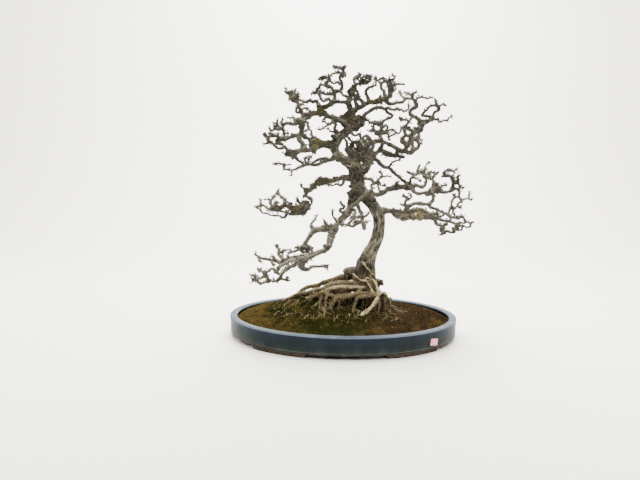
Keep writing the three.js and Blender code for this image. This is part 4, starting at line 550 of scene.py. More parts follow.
@dataclass(frozen=True)
class Wander:
    """Smooth noise over space that is the same each run.

    Attributes:
        seed: Which of the many noises this one is.
    """

    seed: int

    def at(self, places: Array, size: float) -> Array:
        """Read the noise.

        Args:
            places: Points, one a row.
            size: Width of one lump, in the points' own unit.

        Returns:
            One value a point, about -1 to 1.
        """
        draw = np.random.default_rng(self.seed)
        slopes = unit(draw.normal(size=(256, 3)))
        order = draw.permutation(256)
        spot = places / size
        cell = np.floor(spot).astype(np.int64)
        part = spot - cell
        ease = part**3 * (part * (part * 6 - 15) + 10)
        total = np.zeros(len(spot))
        for corner in np.ndindex(2, 2, 2):
            step = np.array(corner)
            key = (cell + step) & 255
            pick = order[(order[(order[key[:, 0]] + key[:, 1]) & 255] + key[:, 2]) & 255]
            weight = np.prod(np.where(step == 1, ease, 1 - ease), axis=1)
            total += weight * np.einsum("ij,ij->i", slopes[pick], part - step)
        return total * 1.7


@dataclass
class Shell:
    """Closed surfaces gathered for one piece, in millimetres.

    Attributes:
        corners: Points, one a row.
        faces: Each face's corners.
        marks: Named values at each corner.
        count: How many corners there are.
    """

    corners: list[Array] = field(default_factory=list)
    faces: list[list[int]] = field(default_factory=list)
    marks: dict[str, list[Array]] = field(default_factory=dict)
    count: int = 0

    def add(self, corners: Array, faces: Iterable[Sequence[int]], **marks: Array) -> None:
        """Add one closed surface.

        Args:
            corners: Its points, one a row.
            faces: Its faces as places in corners.
            **marks: Named values, one a corner.
        """
        first = self.count
        self.corners.append(corners)
        self.faces.extend([first + corner for corner in face] for face in faces)
        for name, values in marks.items():
            self.marks.setdefault(name, []).append(values)
        self.count += len(corners)

    def build(self, name: str) -> Piece:
        """Make the object, in metres.

        Args:
            name: The object's name.

        Returns:
            The new object.
        """
        mesh = bpy.data.meshes.new(name)
        mesh.from_pydata((np.concatenate(self.corners) * MM).tolist(), [], self.faces)
        for mark, values in self.marks.items():
            write_mark(mesh, mark, np.concatenate(values))
        mesh.polygons.foreach_set("use_smooth", np.ones(len(mesh.polygons), dtype=bool))
        mesh.update()
        piece = bpy.data.objects.new(name, mesh)
        bpy.context.scene.collection.objects.link(piece)
        return piece


def write_mark(mesh: bpy.types.Mesh, name: str, values: Array) -> None:
    """Store one value or one vector a corner on a mesh.

    Args:
        mesh: The mesh.
        name: The attribute's name.
        values: One row a corner.
    """
    flat = values.ndim == 1
    mark = mesh.attributes.new(name, "FLOAT" if flat else "FLOAT_VECTOR", "POINT")
    mark.data.foreach_set("value" if flat else "vector", values.astype(np.float32).ravel())


@dataclass
class Course:
    """A stem's smooth middle line, step by step.

    Attributes:
        middle: Points.
        along: Way of growth at each.
        across: First way round at each.
        over: Second way round at each.
        radius: Radius at each.
        run: Length from the start to each.
    """

    middle: Array
    along: Array
    across: Array
    over: Array
    radius: Array
    run: Array

    def step_at(self, run: float) -> int:
        """Give the step that lies so far along the line."""
        return min(int(np.searchsorted(self.run, run)), len(self.run) - 1)

    def outward(self, step: int, turn: float) -> Array:
        """Give the way out of the wood at a step, at an angle round it."""
        return math.cos(turn) * self.across[step] + math.sin(turn) * self.over[step]


@dataclass
class Stem:
    """One grown length of wood.

    Attributes:
        name: What it is called.
        knots: Points that it passes through, the first inside what it grows from.
        radii: Radius at each.
        collar: Radius of what it leaves.
        swell: How knotty it is.
        pale: How pale its skin is, 0 to 1.
    """

    name: str
    knots: Array
    radii: Array
    collar: float = 0.0
    swell: float = 0.16
    pale: float = 0.0

    def course(self, step: float, least: int = 2) -> Course:
        """Smooth the knots into a line of small steps.

        Args:
            step: Longest step, in millimetres.
            least: Fewest steps from knot to knot.

        Returns:
            The line with its frames.
        """
        spans = np.diff(self.knots, axis=0)
        gaps = np.linalg.norm(spans, axis=1)
        ways = spans / gaps[:, None]
        slopes = np.vstack((ways[:1], (ways[:-1] + ways[1:]) * 0.5, ways[-1:]))
        middle, radius = [], []
        for i, gap in enumerate(gaps):
            count = max(least, math.ceil(gap / step))
            t = np.arange(count + (i == len(gaps) - 1))[:, None] / count
            ease = t * t * (3 - 2 * t)
            leave = t * (1 - t) ** 2 * gap
            reach = t * t * (t - 1) * gap
            middle.append(
                self.knots[i] * (1 - ease) + self.knots[i + 1] * ease
                + slopes[i] * leave + slopes[i + 1] * reach
            )
            radius.append((self.radii[i] * (1 - t) + self.radii[i + 1] * t)[:, 0])
        line = np.concatenate(middle)
        girth = np.concatenate(radius)
        run = np.concatenate(((0.0,), np.cumsum(np.linalg.norm(np.diff(line, axis=0), axis=1))))
        if self.collar:
            girth = girth * (1 + 0.34 * np.exp(-np.maximum(run - self.collar, 0) / (1.1 * girth)))
        knot = Wander(41).at(line, 7.0 + girth.mean())
        girth = girth * (1 + self.swell * knot)
        along = unit(np.gradient(line, axis=0))
        return Course(line, along, *carried(along), girth, run)


def carried(along: Array) -> tuple[Array, Array]:
    """Carry a frame along a line without twist.

    Args:
        along: Unit way at each step.

    Returns:
        The two ways round at each step.
    """
    lean = np.array((0.0, 0.0, 1.0)) if abs(along[0, 2]) < 0.9 else np.array((1.0, 0.0, 0.0))
    across = np.zeros_like(along)
    current = unit(np.cross(lean, along[0]))
    for i, way in enumerate(along):
        current = unit(current - way * current.dot(way))
        across[i] = current
    return across, np.cross(along, across)


class Skeleton:
    """All the tree's stems as lines.

    Attributes:
        shift: How far the pot's middle is from the origin, in millimetres.
    """

    def __init__(self, shift: float) -> None:
        """Grow the trunk, the roots and every stem in turn."""
        self.shift = np.array((shift, 0.0, 0.0))
        rows = np.array(TRUNK)
        self.seen: dict[str, Array] = {"trunk": rows}
        self.trunk = Stem("trunk", self.placed(rows[:, :3]), rows[:, 3], swell=0.04)
        self.roots = [self.root(i, row) for i, row in enumerate((*ROOTS, *BACK_ROOTS))]
        self.stems = [self.grow(row) for row in STEMS]

    def placed(self, rows: Array) -> Array:
        """Give the places of rows of across, up and back."""
        return np.array([place(*row) for row in rows]) + self.shift

    def root(self, number: int, row: RootRow) -> Stem:
        """Give one root as a stem."""
        start, end, pale, line = row
        radii = np.linspace(start, end, len(line))
        return Stem(f"root {number}", self.placed(np.array(line)), radii, swell=0.17, pale=pale)

    def spot(self, across: float, up: float) -> Array:
        """Give the place that is seen at across and up and lies as far back as the nearest wood."""
        target = np.array((across, up))
        found = [self.joint(rows, target) for rows in self.seen.values()]
        _, nearest = min(found, key=lambda joint: joint[0] - joint[1][3])
        return place(across, up, nearest[2]) + self.shift

    def joint(self, parent: Array, target: Array) -> tuple[float, Array]:
        """Find where a stem leaves the one it grows from.

        Args:
            parent: The other's rows of across, up, back and radius.
            target: The stem's first point as seen from the front.

        Returns:
            How far off the nearest point is, and its own row.
        """
        best = (math.inf, parent[0])
        for low, high in zip(parent[:-1], parent[1:]):
            span = high[:2] - low[:2]
            share = float(np.clip((target - low[:2]).dot(span) / span.dot(span), 0, 1))
            spot = low + (high - low) * share
            off = float(np.linalg.norm(spot[:2] - target))
            if off < best[0]:
                best = (off, spot)
        return best

    def grow(self, row: StemRow) -> Stem:
        """Grow one stem from its row.

        Args:
            row: Name, what it grows from, radii, how far back it ends, and its points.

        Returns:
            The stem.
        """
        name, source, start, end, end_back, line = row
        points = np.array(line, dtype=float)
        off, first = self.joint(self.seen[source], points[0])
        outline = np.vstack((first[:2], points[1:] if off < 3 else points))
        gaps = np.linalg.norm(np.diff(outline, axis=0), axis=1)
        share = np.concatenate(((0.0,), np.cumsum(gaps))) / gaps.sum()
        back = first[2] + (end_back - first[2]) * share
        radii = start + (end - start) * share
        rows = np.column_stack((outline, back, radii))
        self.seen[name] = rows
        return Stem(name, self.placed(rows[:, :3]), radii, collar=float(first[3]))


def ring_walls(rings: int, sides: int) -> list[list[int]]:
    """Give the faces that join closed rings of corners one after another.

    Args:
        rings: How many rings there are.
        sides: Corners in each.

    Returns:
        Each face's corners.
    """
    side = np.arange(sides)
    after = (side + 1) % sides
    low = (np.arange(rings - 1) * sides)[:, None]
    walls = np.stack((low + side, low + after, low + sides + after, low + sides + side), axis=-1)
    return walls.reshape(-1, 4).tolist()


def tube(shell: Shell, course: Course, sides: int, knobs: float, pale: float = 0.0) -> None:
    """Add a closed round length of wood with a rounded tip.

    Args:
        shell: What it is added to.
        course: Its middle line.
        sides: Corners round it.
        knobs: How uneven its surface is.
        pale: How pale its skin is, 0 to 1.
    """
    tip, way, end = course.middle[-1], course.along[-1], course.radius[-1]
    caps = np.array(((0.5, 0.82), (0.85, 0.45)) if sides > 5 else ((0.6, 0.72),))
    middle = np.vstack((course.middle, tip + way * end * caps[:, :1]))
    radius = np.concatenate((course.radius, end * caps[:, 1]))
    run = np.concatenate((course.run, course.run[-1] + end * caps[:, 0]))
    across = np.vstack((course.across, *[course.across[-1:]] * len(caps)))
    over = np.vstack((course.over, *[course.over[-1:]] * len(caps)))
    turn = np.arange(sides) * math.tau / sides
    round_way = np.cos(turn)[:, None] * across[:, None] + np.sin(turn)[:, None] * over[:, None]
    skin = (middle[:, None] + round_way * radius[:, None, None]).reshape(-1, 3)
    lump = Wander(7).at(skin, 2.6 + course.radius.mean()).reshape(len(middle), sides)
    reach = radius[:, None] * (1 + knobs * lump)
    skin = (middle[:, None] + round_way * reach[..., None]).reshape(-1, 3)
    rings = len(middle)
    corners = np.vstack((skin, course.middle[:1], tip + way * end))
    grain = np.stack((reach * np.cos(turn), reach * np.sin(turn), np.repeat(run[:, None], sides, 1)), -1)
    grain = np.vstack((grain.reshape(-1, 3), ((0, 0, 0), (0, 0, run[-1] + end * 0.15))))
    girth = np.concatenate((np.repeat(radius, sides), (radius[0], radius[-1])))
    foot, top, last = rings * sides, rings * sides + 1, (rings - 1) * sides
    faces = ring_walls(rings, sides)
    faces += [[foot, (side + 1) % sides, side] for side in range(sides)]
    faces += [[top, last + side, last + (side + 1) % sides] for side in range(sides)]
    shell.add(corners, faces, grain=grain, girth=girth, pale=np.full(len(corners), pale))


def paint(red: float, green: float, blue: float) -> tuple[float, float, float, float]:
    """Turn a colour as a screen shows it, 0 to 255, into light."""
    light = [((c / 255 + 0.055) / 1.055) ** 2.4 if c > 10 else c / 255 / 12.92 for c in (red, green, blue)]
    return (*light, 1.0)


class Board:
    """A material's nodes, laid out by short calls.

    Attributes:
        material: The material.
        tree: Its nodes.
        shader: Its surface shader.
    """

    def __init__(self, name: str, roughness: float, specular: float) -> None:
        """Start a material with a plain shader.

        Args:
            name: What it is called.
            roughness: How dull it is all over.
            specular: How strongly it shines, where 0.5 is usual.
        """
        self.material = bpy.data.materials.new(name)
        self.material.use_nodes = True
        self.tree = self.material.node_tree
        self.shader = self.tree.nodes["Principled BSDF"]
        self.shader.inputs["Roughness"].default_value = roughness
        self.shader.inputs["Specular IOR Level"].default_value = specular

    def node(self, kind: str, sockets: dict[str | int, object], **settings: object) -> bpy.types.Node:
        """Add a node.

        Args:
            kind: Its type.
            sockets: What each input gets, a value or another node's output.
            **settings: The node's own settings.

        Returns:
            The node.
        """
        made = self.tree.nodes.new(kind)
        for name, value in settings.items():
            setattr(made, name, value)
        for key, value in sockets.items():
            if isinstance(value, Socket):
                self.tree.links.new(value, made.inputs[key])
            else:
                made.inputs[key].default_value = value
        return made

    def attribute(self, name: str, vector: bool = False) -> Socket:
        """Read a value stored on the mesh."""
        made = self.node("ShaderNodeAttribute", {}, attribute_name=name)
        return made.outputs["Vector" if vector else "Fac"]

    def place(self) -> Socket:
        """Read where a point is on the object, in metres."""
        return self.node("ShaderNodeTexCoord", {}).outputs["Object"]

    def part(self, vector: Socket, axis: str) -> Socket:
        """Read one part of a vector."""
        return self.node("ShaderNodeSeparateXYZ", {0: vector}).outputs[axis]

    def upward(self) -> Socket:
        """Read how much the surface faces up, -1 to 1."""
        return self.part(self.node("ShaderNodeNewGeometry", {}).outputs["Normal"], "Z")

    def drawn(self, vector: Socket, by: float) -> Socket:
        """Draw a pattern out along a vector's last part, where 1 is not at all."""
        sockets = {0: vector, 1: (1.0, 1.0, by)}
        return self.node("ShaderNodeVectorMath", sockets, operation="MULTIPLY").outputs[0]

    def noise(self, vector: Socket, scale: float, detail: float, rough: float) -> Socket:
        """Read a noise texture, 0 to 1."""
        sockets = {"Vector": vector, "Scale": scale, "Detail": detail, "Roughness": rough}
        return self.node("ShaderNodeTexNoise", sockets).outputs["Fac"]

    def math(self, how: str, a: Socket | float, b: Socket | float = 0.0, clamp: bool = False) -> Socket:
        """Do one sum."""
        return self.node("ShaderNodeMath", {0: a, 1: b}, operation=how, use_clamp=clamp).outputs[0]

    def times(self, a: Socket, b: Socket | float) -> Socket:
        """Multiply two values."""
        return self.math("MULTIPLY", a, b)

    def plus(self, a: Socket, b: Socket | float) -> Socket:
        """Add two values."""
        return self.math("ADD", a, b)

    def between(self, value: Socket, low: float, high: float) -> Socket:
        """Go smoothly from 0 at low to 1 at high, which may lie below low."""
        sockets = {"Value": value, "From Min": low, "From Max": high}
        return self.node("ShaderNodeMapRange", sockets, interpolation_type="SMOOTHSTEP").outputs[0]

    def ramp(self, value: Socket, *stops: tuple[float, float, float, float]) -> Socket:
        """Turn a value into a colour between stops.

        Args:
            value: The value.
            *stops: Where each stop lies, then its red, green and blue as a screen shows them.

        Returns:
            The colour.
        """
        made = self.node("ShaderNodeValToRGB", {0: value})
        elements = made.color_ramp.elements
        while len(elements) < len(stops):
            elements.new(0.5)
        for element, (spot, *color) in zip(elements, stops):
            element.position = spot
            element.color = paint(*color)
        return made.outputs["Color"]

    def mix(self, share: Socket | float, a: object, b: object) -> Socket:
        """Mix two colours.

        Args:
            share: How much there is of the second.
            a: The first colour.
            b: The second colour.

        Returns:
            The mixed colour.
        """
        return self.node("ShaderNodeMix", {0: share, 6: a, 7: b}, data_type="RGBA").outputs[2]

    def cover(
        self, under: object, over: object, value: Socket, span: tuple[float, float], most: float
    ) -> Socket:
        """Lay one colour over another where a value is strong.

        Args:
            under: The colour below.
            over: The colour on it.
            value: What says how much of it shows.
            span: The values where it starts to show and where it shows most.
            most: How much shows at most.

        Returns:
            The joined colour.
        """
        return self.mix(self.times(self.between(value, *span), most), under, over)

    def bump(
        self, height: Socket, distance: float, strength: float = 1.0, under: Socket | None = None
    ) -> Socket:
        """Turn a height into a surface way.

        Args:
            height: The height, 0 to 1.
            distance: How high 1 is, in metres.
            strength: How much of it shows.
            under: The surface way that it is added to.

        Returns:
            The new surface way.
        """
        sockets: dict[str | int, object] = {"Height": height, "Distance": distance, "Strength": strength}
        if under is not None:
            sockets["Normal"] = under
        return self.node("ShaderNodeBump", sockets).outputs["Normal"]

    def finish(self, color: Socket, normal: Socket, roughness: Socket | None = None) -> Finish:
        """Join all to the shader.

        Args:
            color: The colour.
            normal: The surface way.
            roughness: The roughness, where it isn't the same all over.

        Returns:
            The material.
        """
        self.tree.links.new(color, self.shader.inputs["Base Color"])
        self.tree.links.new(normal, self.shader.inputs["Normal"])
        if roughness is not None:
            self.tree.links.new(roughness, self.shader.inputs["Roughness"])
        return self.material


@dataclass(frozen=True)
class Bark:
    """Bark that is furrowed on thick wood, smooth on thin, pale on roots and mossy in patches.

    Attributes:
        furrow: Width of one furrowed ridge, in millimetres.
        long: How far the pattern is drawn out along the trunk, where 1 is not at all.
        short: The same for the limbs.
    """

    furrow: float = 5.0
    long: float = 0.26
    short: float = 0.45

    def make(self) -> Finish:
        """Make the material.

        Returns:
            The material.
        """
        board = Board("bark", 0.9, 0.1)
        grain = board.attribute("grain", vector=True)
        pale = board.attribute("pale")
        spot = board.place()
        upward = board.upward()
        fine = board.noise(board.drawn(grain, 0.5), 0.6, 4.0, 0.65)
        blotch = board.noise(spot, 55.0, 3.0, 0.6)

        # Furrowed bark on thick wood and smoother bark on thin, both with a painted highlight where they face
        # up
        trunk = board.noise(board.drawn(grain, self.long), 1 / self.furrow, 4.0, 0.6)
        limb = board.noise(board.drawn(grain, self.short), 1 / self.furrow, 4.0, 0.65)
        ridges = board.mix(board.attribute("straight"), limb, trunk)
        old = board.ramp(
            ridges, (0.36, 24, 22, 17), (0.46, 58, 56, 46), (0.56, 90, 87, 75), (0.7, 134, 130, 117)
        )
        young = board.ramp(fine, (0.3, 20, 19, 15), (0.5, 60, 58, 50), (0.7, 122, 118, 106))
        wood = board.mix(board.between(board.attribute("girth"), 5.0, 14.0), young, old)
        # Painted highlight: paler bark in patches where the wood faces up
        top_highlight = board.times(board.between(upward, 0.1, 0.9), board.between(blotch, 0.38, 0.62))
        wood = board.mix(board.times(top_highlight, 0.4), wood, paint(158, 150, 130))

        # Pale skin on bare roots, with painted shade on their undersides, and stained in blotches
        skin = board.ramp(fine, (0.3, 50, 41, 24), (0.46, 122, 109, 76), (0.62, 208, 198, 160))
        # Painted shade: the dark colour of the roots' undersides
        under = board.ramp(fine, (0.3, 20, 16, 9), (0.6, 62, 54, 38))
        root = board.mix(board.between(upward, -0.2, 0.7), under, skin)
        root = board.cover(root, paint(66, 60, 34), blotch, (0.5, 0.62), 0.55)
        streak = board.noise(board.drawn(grain, 0.05), 0.16, 3.0, 0.6)
        bare = board.plus(pale, board.times(board.math("SUBTRACT", streak, 0.5), 1.7))
        bare = board.times(board.between(bare, 0.3, 0.75), board.between(pale, 0.02, 0.1))
        wood = board.mix(bare, wood, root)

        # Earth that clings to the wood low down, apart from the palest roots
        earthy = board.ramp(fine, (0.34, 22, 15, 7), (0.5, 70, 57, 34), (0.68, 150, 136, 100))
        low = board.times(board.between(board.part(spot, "Z"), 0.235, 0.15), board.between(pale, 0.8, 0.35))
        wood = board.mix(board.times(low, 0.85), wood, earthy)

        # Lichen and moss over all of it, with patches of painted light and painted shade, the shade darkest
        # in the hollow under the trunk
        fuzz = board.noise(spot, 420.0, 3.0, 0.8)
        green = board.ramp(fuzz, (0.36, 24, 23, 11), (0.5, 62, 61, 31), (0.64, 116, 111, 66))
        gold = board.ramp(fuzz, (0.36, 36, 30, 18), (0.5, 92, 83, 54), (0.63, 166, 155, 120))
        # Painted light in the patches marked light
        color = self.spread(board, wood, "light", paint(150, 145, 130), 0.4)
        color = self.spread(board, color, "gold", gold, 0.8)
        color = self.spread(board, color, "moss", green, 0.92)
        # Painted shade in the patches marked dark and in the hollow under the trunk
        color = board.mix(board.times(board.attribute("dark"), 0.94), color, paint(12, 9, 7))
        return board.finish(color, board.bump(fine, 0.0014, under=board.bump(ridges, 0.0022)))

    @staticmethod
    def spread(board: Board, under: Socket, mark: str, color: object, strength: float) -> Socket:
        """Lay a ragged patch of moss, lichen or painted light over the bark where its mark is strong.

        Args:
            board: The material's nodes.
            under: The colour below it.
            mark: The cover's mark on the mesh.
            color: The cover's own colour.
            strength: How much of it shows at most.

        Returns:
            The joined colour.
        """
        ragged = board.times(board.noise(board.place(), 150.0, 3.0, 0.75), 0.9)
        return board.cover(under, color, board.plus(board.attribute(mark), ragged), (0.74, 1.02), strength)


@dataclass(frozen=True)
class Earth:
    """Moss over soil, olive in the middle, gold at the left and reddish brown at the right, with painted
    shade in the dips under the roots.
    """

    def make(self, shift: float) -> Finish:
        """Make the material.

        Args:
            shift: Where the pot's middle is along X, in metres.

        Returns:
            The material.
        """
        board = Board("moss and soil", 0.96, 0.0)
        spot = board.place()
        grain = board.noise(spot, 430.0, 4.0, 0.85)
        clump = board.noise(spot, 120.0, 4.0, 0.75)
        cushion = board.noise(spot, 62.0, 4.0, 0.7)
        drift = board.noise(spot, 27.0, 4.0, 0.6)
        broad = board.noise(spot, 17.0, 3.0, 0.55)
        green = board.ramp(grain, (0.34, 5, 6, 2), (0.5, 21, 23, 8), (0.64, 50, 51, 22))
        gold = board.ramp(grain, (0.34, 18, 13, 5), (0.5, 55, 45, 21), (0.65, 100, 88, 48))
        brown = board.ramp(grain, (0.34, 12, 8, 5), (0.5, 37, 27, 18), (0.65, 70, 55, 38))
        across = board.math("SUBTRACT", board.part(spot, "X"), shift)
        left = board.plus(board.times(across, -2.6), board.times(broad, 1.6))
        right = board.plus(board.times(across, 2.6), board.times(cushion, 1.6))
        color = board.mix(board.between(left, 1.1, 1.55), green, gold)
        color = board.mix(board.between(right, 0.8, 1.2), color, brown)
        color = board.cover(color, gold, drift, (0.53, 0.63), 0.55)
        color = board.cover(color, green, drift, (0.46, 0.36), 0.75)
        color = board.cover(color, paint(14, 10, 5), cushion, (0.45, 0.32), 0.8)
        color = board.cover(color, paint(10, 8, 3), clump, (0.46, 0.34), 0.7)
        color = board.cover(color, paint(84, 78, 42), clump, (0.58, 0.7), 0.4)
        # Painted shade in the dips under the roots
        color = board.mix(board.times(board.attribute("dark"), 0.8), color, paint(12, 9, 5))
        return board.finish(color, board.bump(grain, 0.0024, under=board.bump(clump, 0.005, 0.9)))


@dataclass(frozen=True)
class Glaze:
    """A blue-grey glaze with painted light on the rim's top and edge, deeper under it, with bare clay on the
    feet.
    """

    def make(self, rim: float) -> Finish:
        """Make the material.

        Args:
            rim: Height of the rim, in metres.

        Returns:
            The material.
        """
        board = Board("blue grey glaze", 0.42, 0.08)
        spot = board.place()
        height = board.part(spot, "Z")
        upward = board.upward()
        streaks = board.noise(board.drawn(spot, 0.3), 42.0, 5.0, 0.6)
        specks = board.noise(spot, 420.0, 3.0, 0.7)

        # Deep glaze on the wall, a little olive low down, and painted light on the rim's top where it faces
        # up
        wall = board.ramp(streaks, (0.3, 11, 17, 21), (0.5, 14, 22, 25), (0.7, 20, 28, 30))
        top = board.ramp(streaks, (0.3, 38, 47, 57), (0.5, 52, 62, 73), (0.7, 70, 82, 92))
        olive = board.times(board.between(height, 0.034, 0.012), board.between(streaks, 0.3, 0.6))
        wall = board.mix(board.times(olive, 0.5), wall, paint(38, 44, 38))
        # Painted light: the rim's top is paler where it faces up
        flat = board.times(board.between(upward, 0.35, 0.8), board.between(height, rim - 0.012, rim - 0.004))
        color = board.mix(flat, wall, top)

        # A dark pool of glaze under the rim, and a painted highlight along its edge
        pool = board.times(
            board.between(height, rim - 0.017, rim - 0.012), board.between(height, rim - 0.005, rim - 0.009)
        )
        color = board.mix(board.times(pool, 0.6), color, paint(12, 20, 40))
        # Painted highlight: a pale line along the rim's rounded edge
        edge = board.times(
            board.between(height, rim - 0.0042, rim - 0.0024), board.between(upward, 0.75, 0.45)
        )
        color = board.mix(board.times(edge, 0.5), color, paint(96, 111, 128))
        color = board.cover(color, paint(70, 80, 82), specks, (0.64, 0.74), 0.12)

        # Glaze that ends in a thin pale line, and bare clay on the feet
        line = board.times(board.between(height, 0.0175, 0.0160), board.between(height, 0.0142, 0.0154))
        color = board.mix(board.times(line, 0.5), color, paint(84, 80, 76))
        clay = board.ramp(specks, (0.3, 28, 22, 17), (0.55, 52, 44, 37), (0.75, 78, 68, 58))
        bare = board.between(board.plus(height, board.times(streaks, 0.004)), 0.0150, 0.0120)
        color = board.mix(bare, color, clay)
        rough = board.plus(board.times(specks, 0.25), board.times(bare, 0.5))
        rough = board.math("ADD", rough, 0.3, clamp=True)
        return board.finish(color, board.bump(specks, 0.0002, 0.4, board.bump(streaks, 0.0012, 0.5)), rough)


@dataclass(frozen=True)
class Plain:
    """A plain finish with a faint mottle.

    Attributes:
        name: What it is called.
        dark: Its darker tone.
        light: Its lighter tone.
        scale: How fine the mottle is.
        roughness: How dull it is.
    """

    name: str
    dark: tuple[float, float, float]
    light: tuple[float, float, float]
    scale: float
    roughness: float

    def make(self) -> Finish:
        """Make the material."""
        board = Board(self.name, self.roughness, 0.3)
        mottle = board.noise(board.place(), self.scale, 3.0, 0.6)
        color = board.ramp(mottle, (0.3, *self.dark), (0.7, *self.light))
        return board.finish(color, board.bump(mottle, 0.0002, 0.5))


def deselect() -> None:
    """Leave nothing selected, in object mode."""
    if bpy.context.object and bpy.context.object.mode != "OBJECT":
        bpy.ops.object.mode_set(mode="OBJECT")
    bpy.ops.object.select_all(action="DESELECT")


def take_up(piece: Piece) -> None:
    """Select one piece alone and make it the active one."""
    deselect()
    piece.select_set(True)
    bpy.context.view_layer.objects.active = piece


def apply_modifier(piece: Piece, kind: str, **settings: object) -> None:
    """Add a modifier to a piece and apply it.

    Args:
        piece: The piece.
        kind: The modifier's type.
        **settings: Its settings.
    """
    take_up(piece)
    modifier = piece.modifiers.new(kind.lower(), kind)
    for name, value in settings.items():
        setattr(modifier, name, value)
    bpy.ops.object.modifier_apply(modifier=modifier.name)


def corners_of(piece: Piece, what: str = "co") -> Array:
    """Read a mesh's corners or their outward ways.

    Args:
        piece: The piece.
        what: Either co, for the corners, or normal, for their outward ways.

    Returns:
        One row a corner, in metres where it is a place.
    """
    mesh = piece.data
    source = mesh.vertices if what == "co" else mesh.vertex_normals
    values = np.empty(len(mesh.vertices) * 3, dtype=np.float32)
    source.foreach_get(what if what == "co" else "vector", values)
    return values.reshape(-1, 3).astype(float)


def clean_skins(piece: Piece, least: int = 60) -> None:
    """Take out specks, and the skins round hollows inside a piece, which face into it.

    Args:
        piece: The piece, of one or more closed skins.
        least: How many faces a skin has at least.
    """
    mesh = bmesh.new()
    mesh.from_mesh(piece.data)
    left = set(mesh.faces)
    while left:
        reached = [left.pop()]
        skin = []
        while reached:
            face = reached.pop()
            skin.append(face)
            for edge in face.edges:
                for other in edge.link_faces:
                    if other in left:
                        left.remove(other)
                        reached.append(other)
        volume = sum(face.calc_center_median().dot(face.normal) * face.calc_area() for face in skin)
        if len(skin) < least or volume < 0:
            bmesh.ops.delete(mesh, geom=skin, context="FACES")
    mesh.to_mesh(piece.data)
    mesh.free()


def settle(piece: Piece, slot: str, material: Finish, *nodes: str) -> Piece:
    """Dress a piece, hang it under the root and hide the solids that it replaces.

    Args:
        piece: The piece.
        slot: Its material slot in the record; not used.
        material: Its material.
        *nodes: The solids that it replaces.

    Returns:
        The piece.
    """
    piece.data.materials.clear()
    piece.data.materials.append(material)
    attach(piece, "root")
    if nodes:
        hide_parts(*nodes)
    log.info("%s: %d faces", piece.name, len(piece.data.polygons))
    return piece


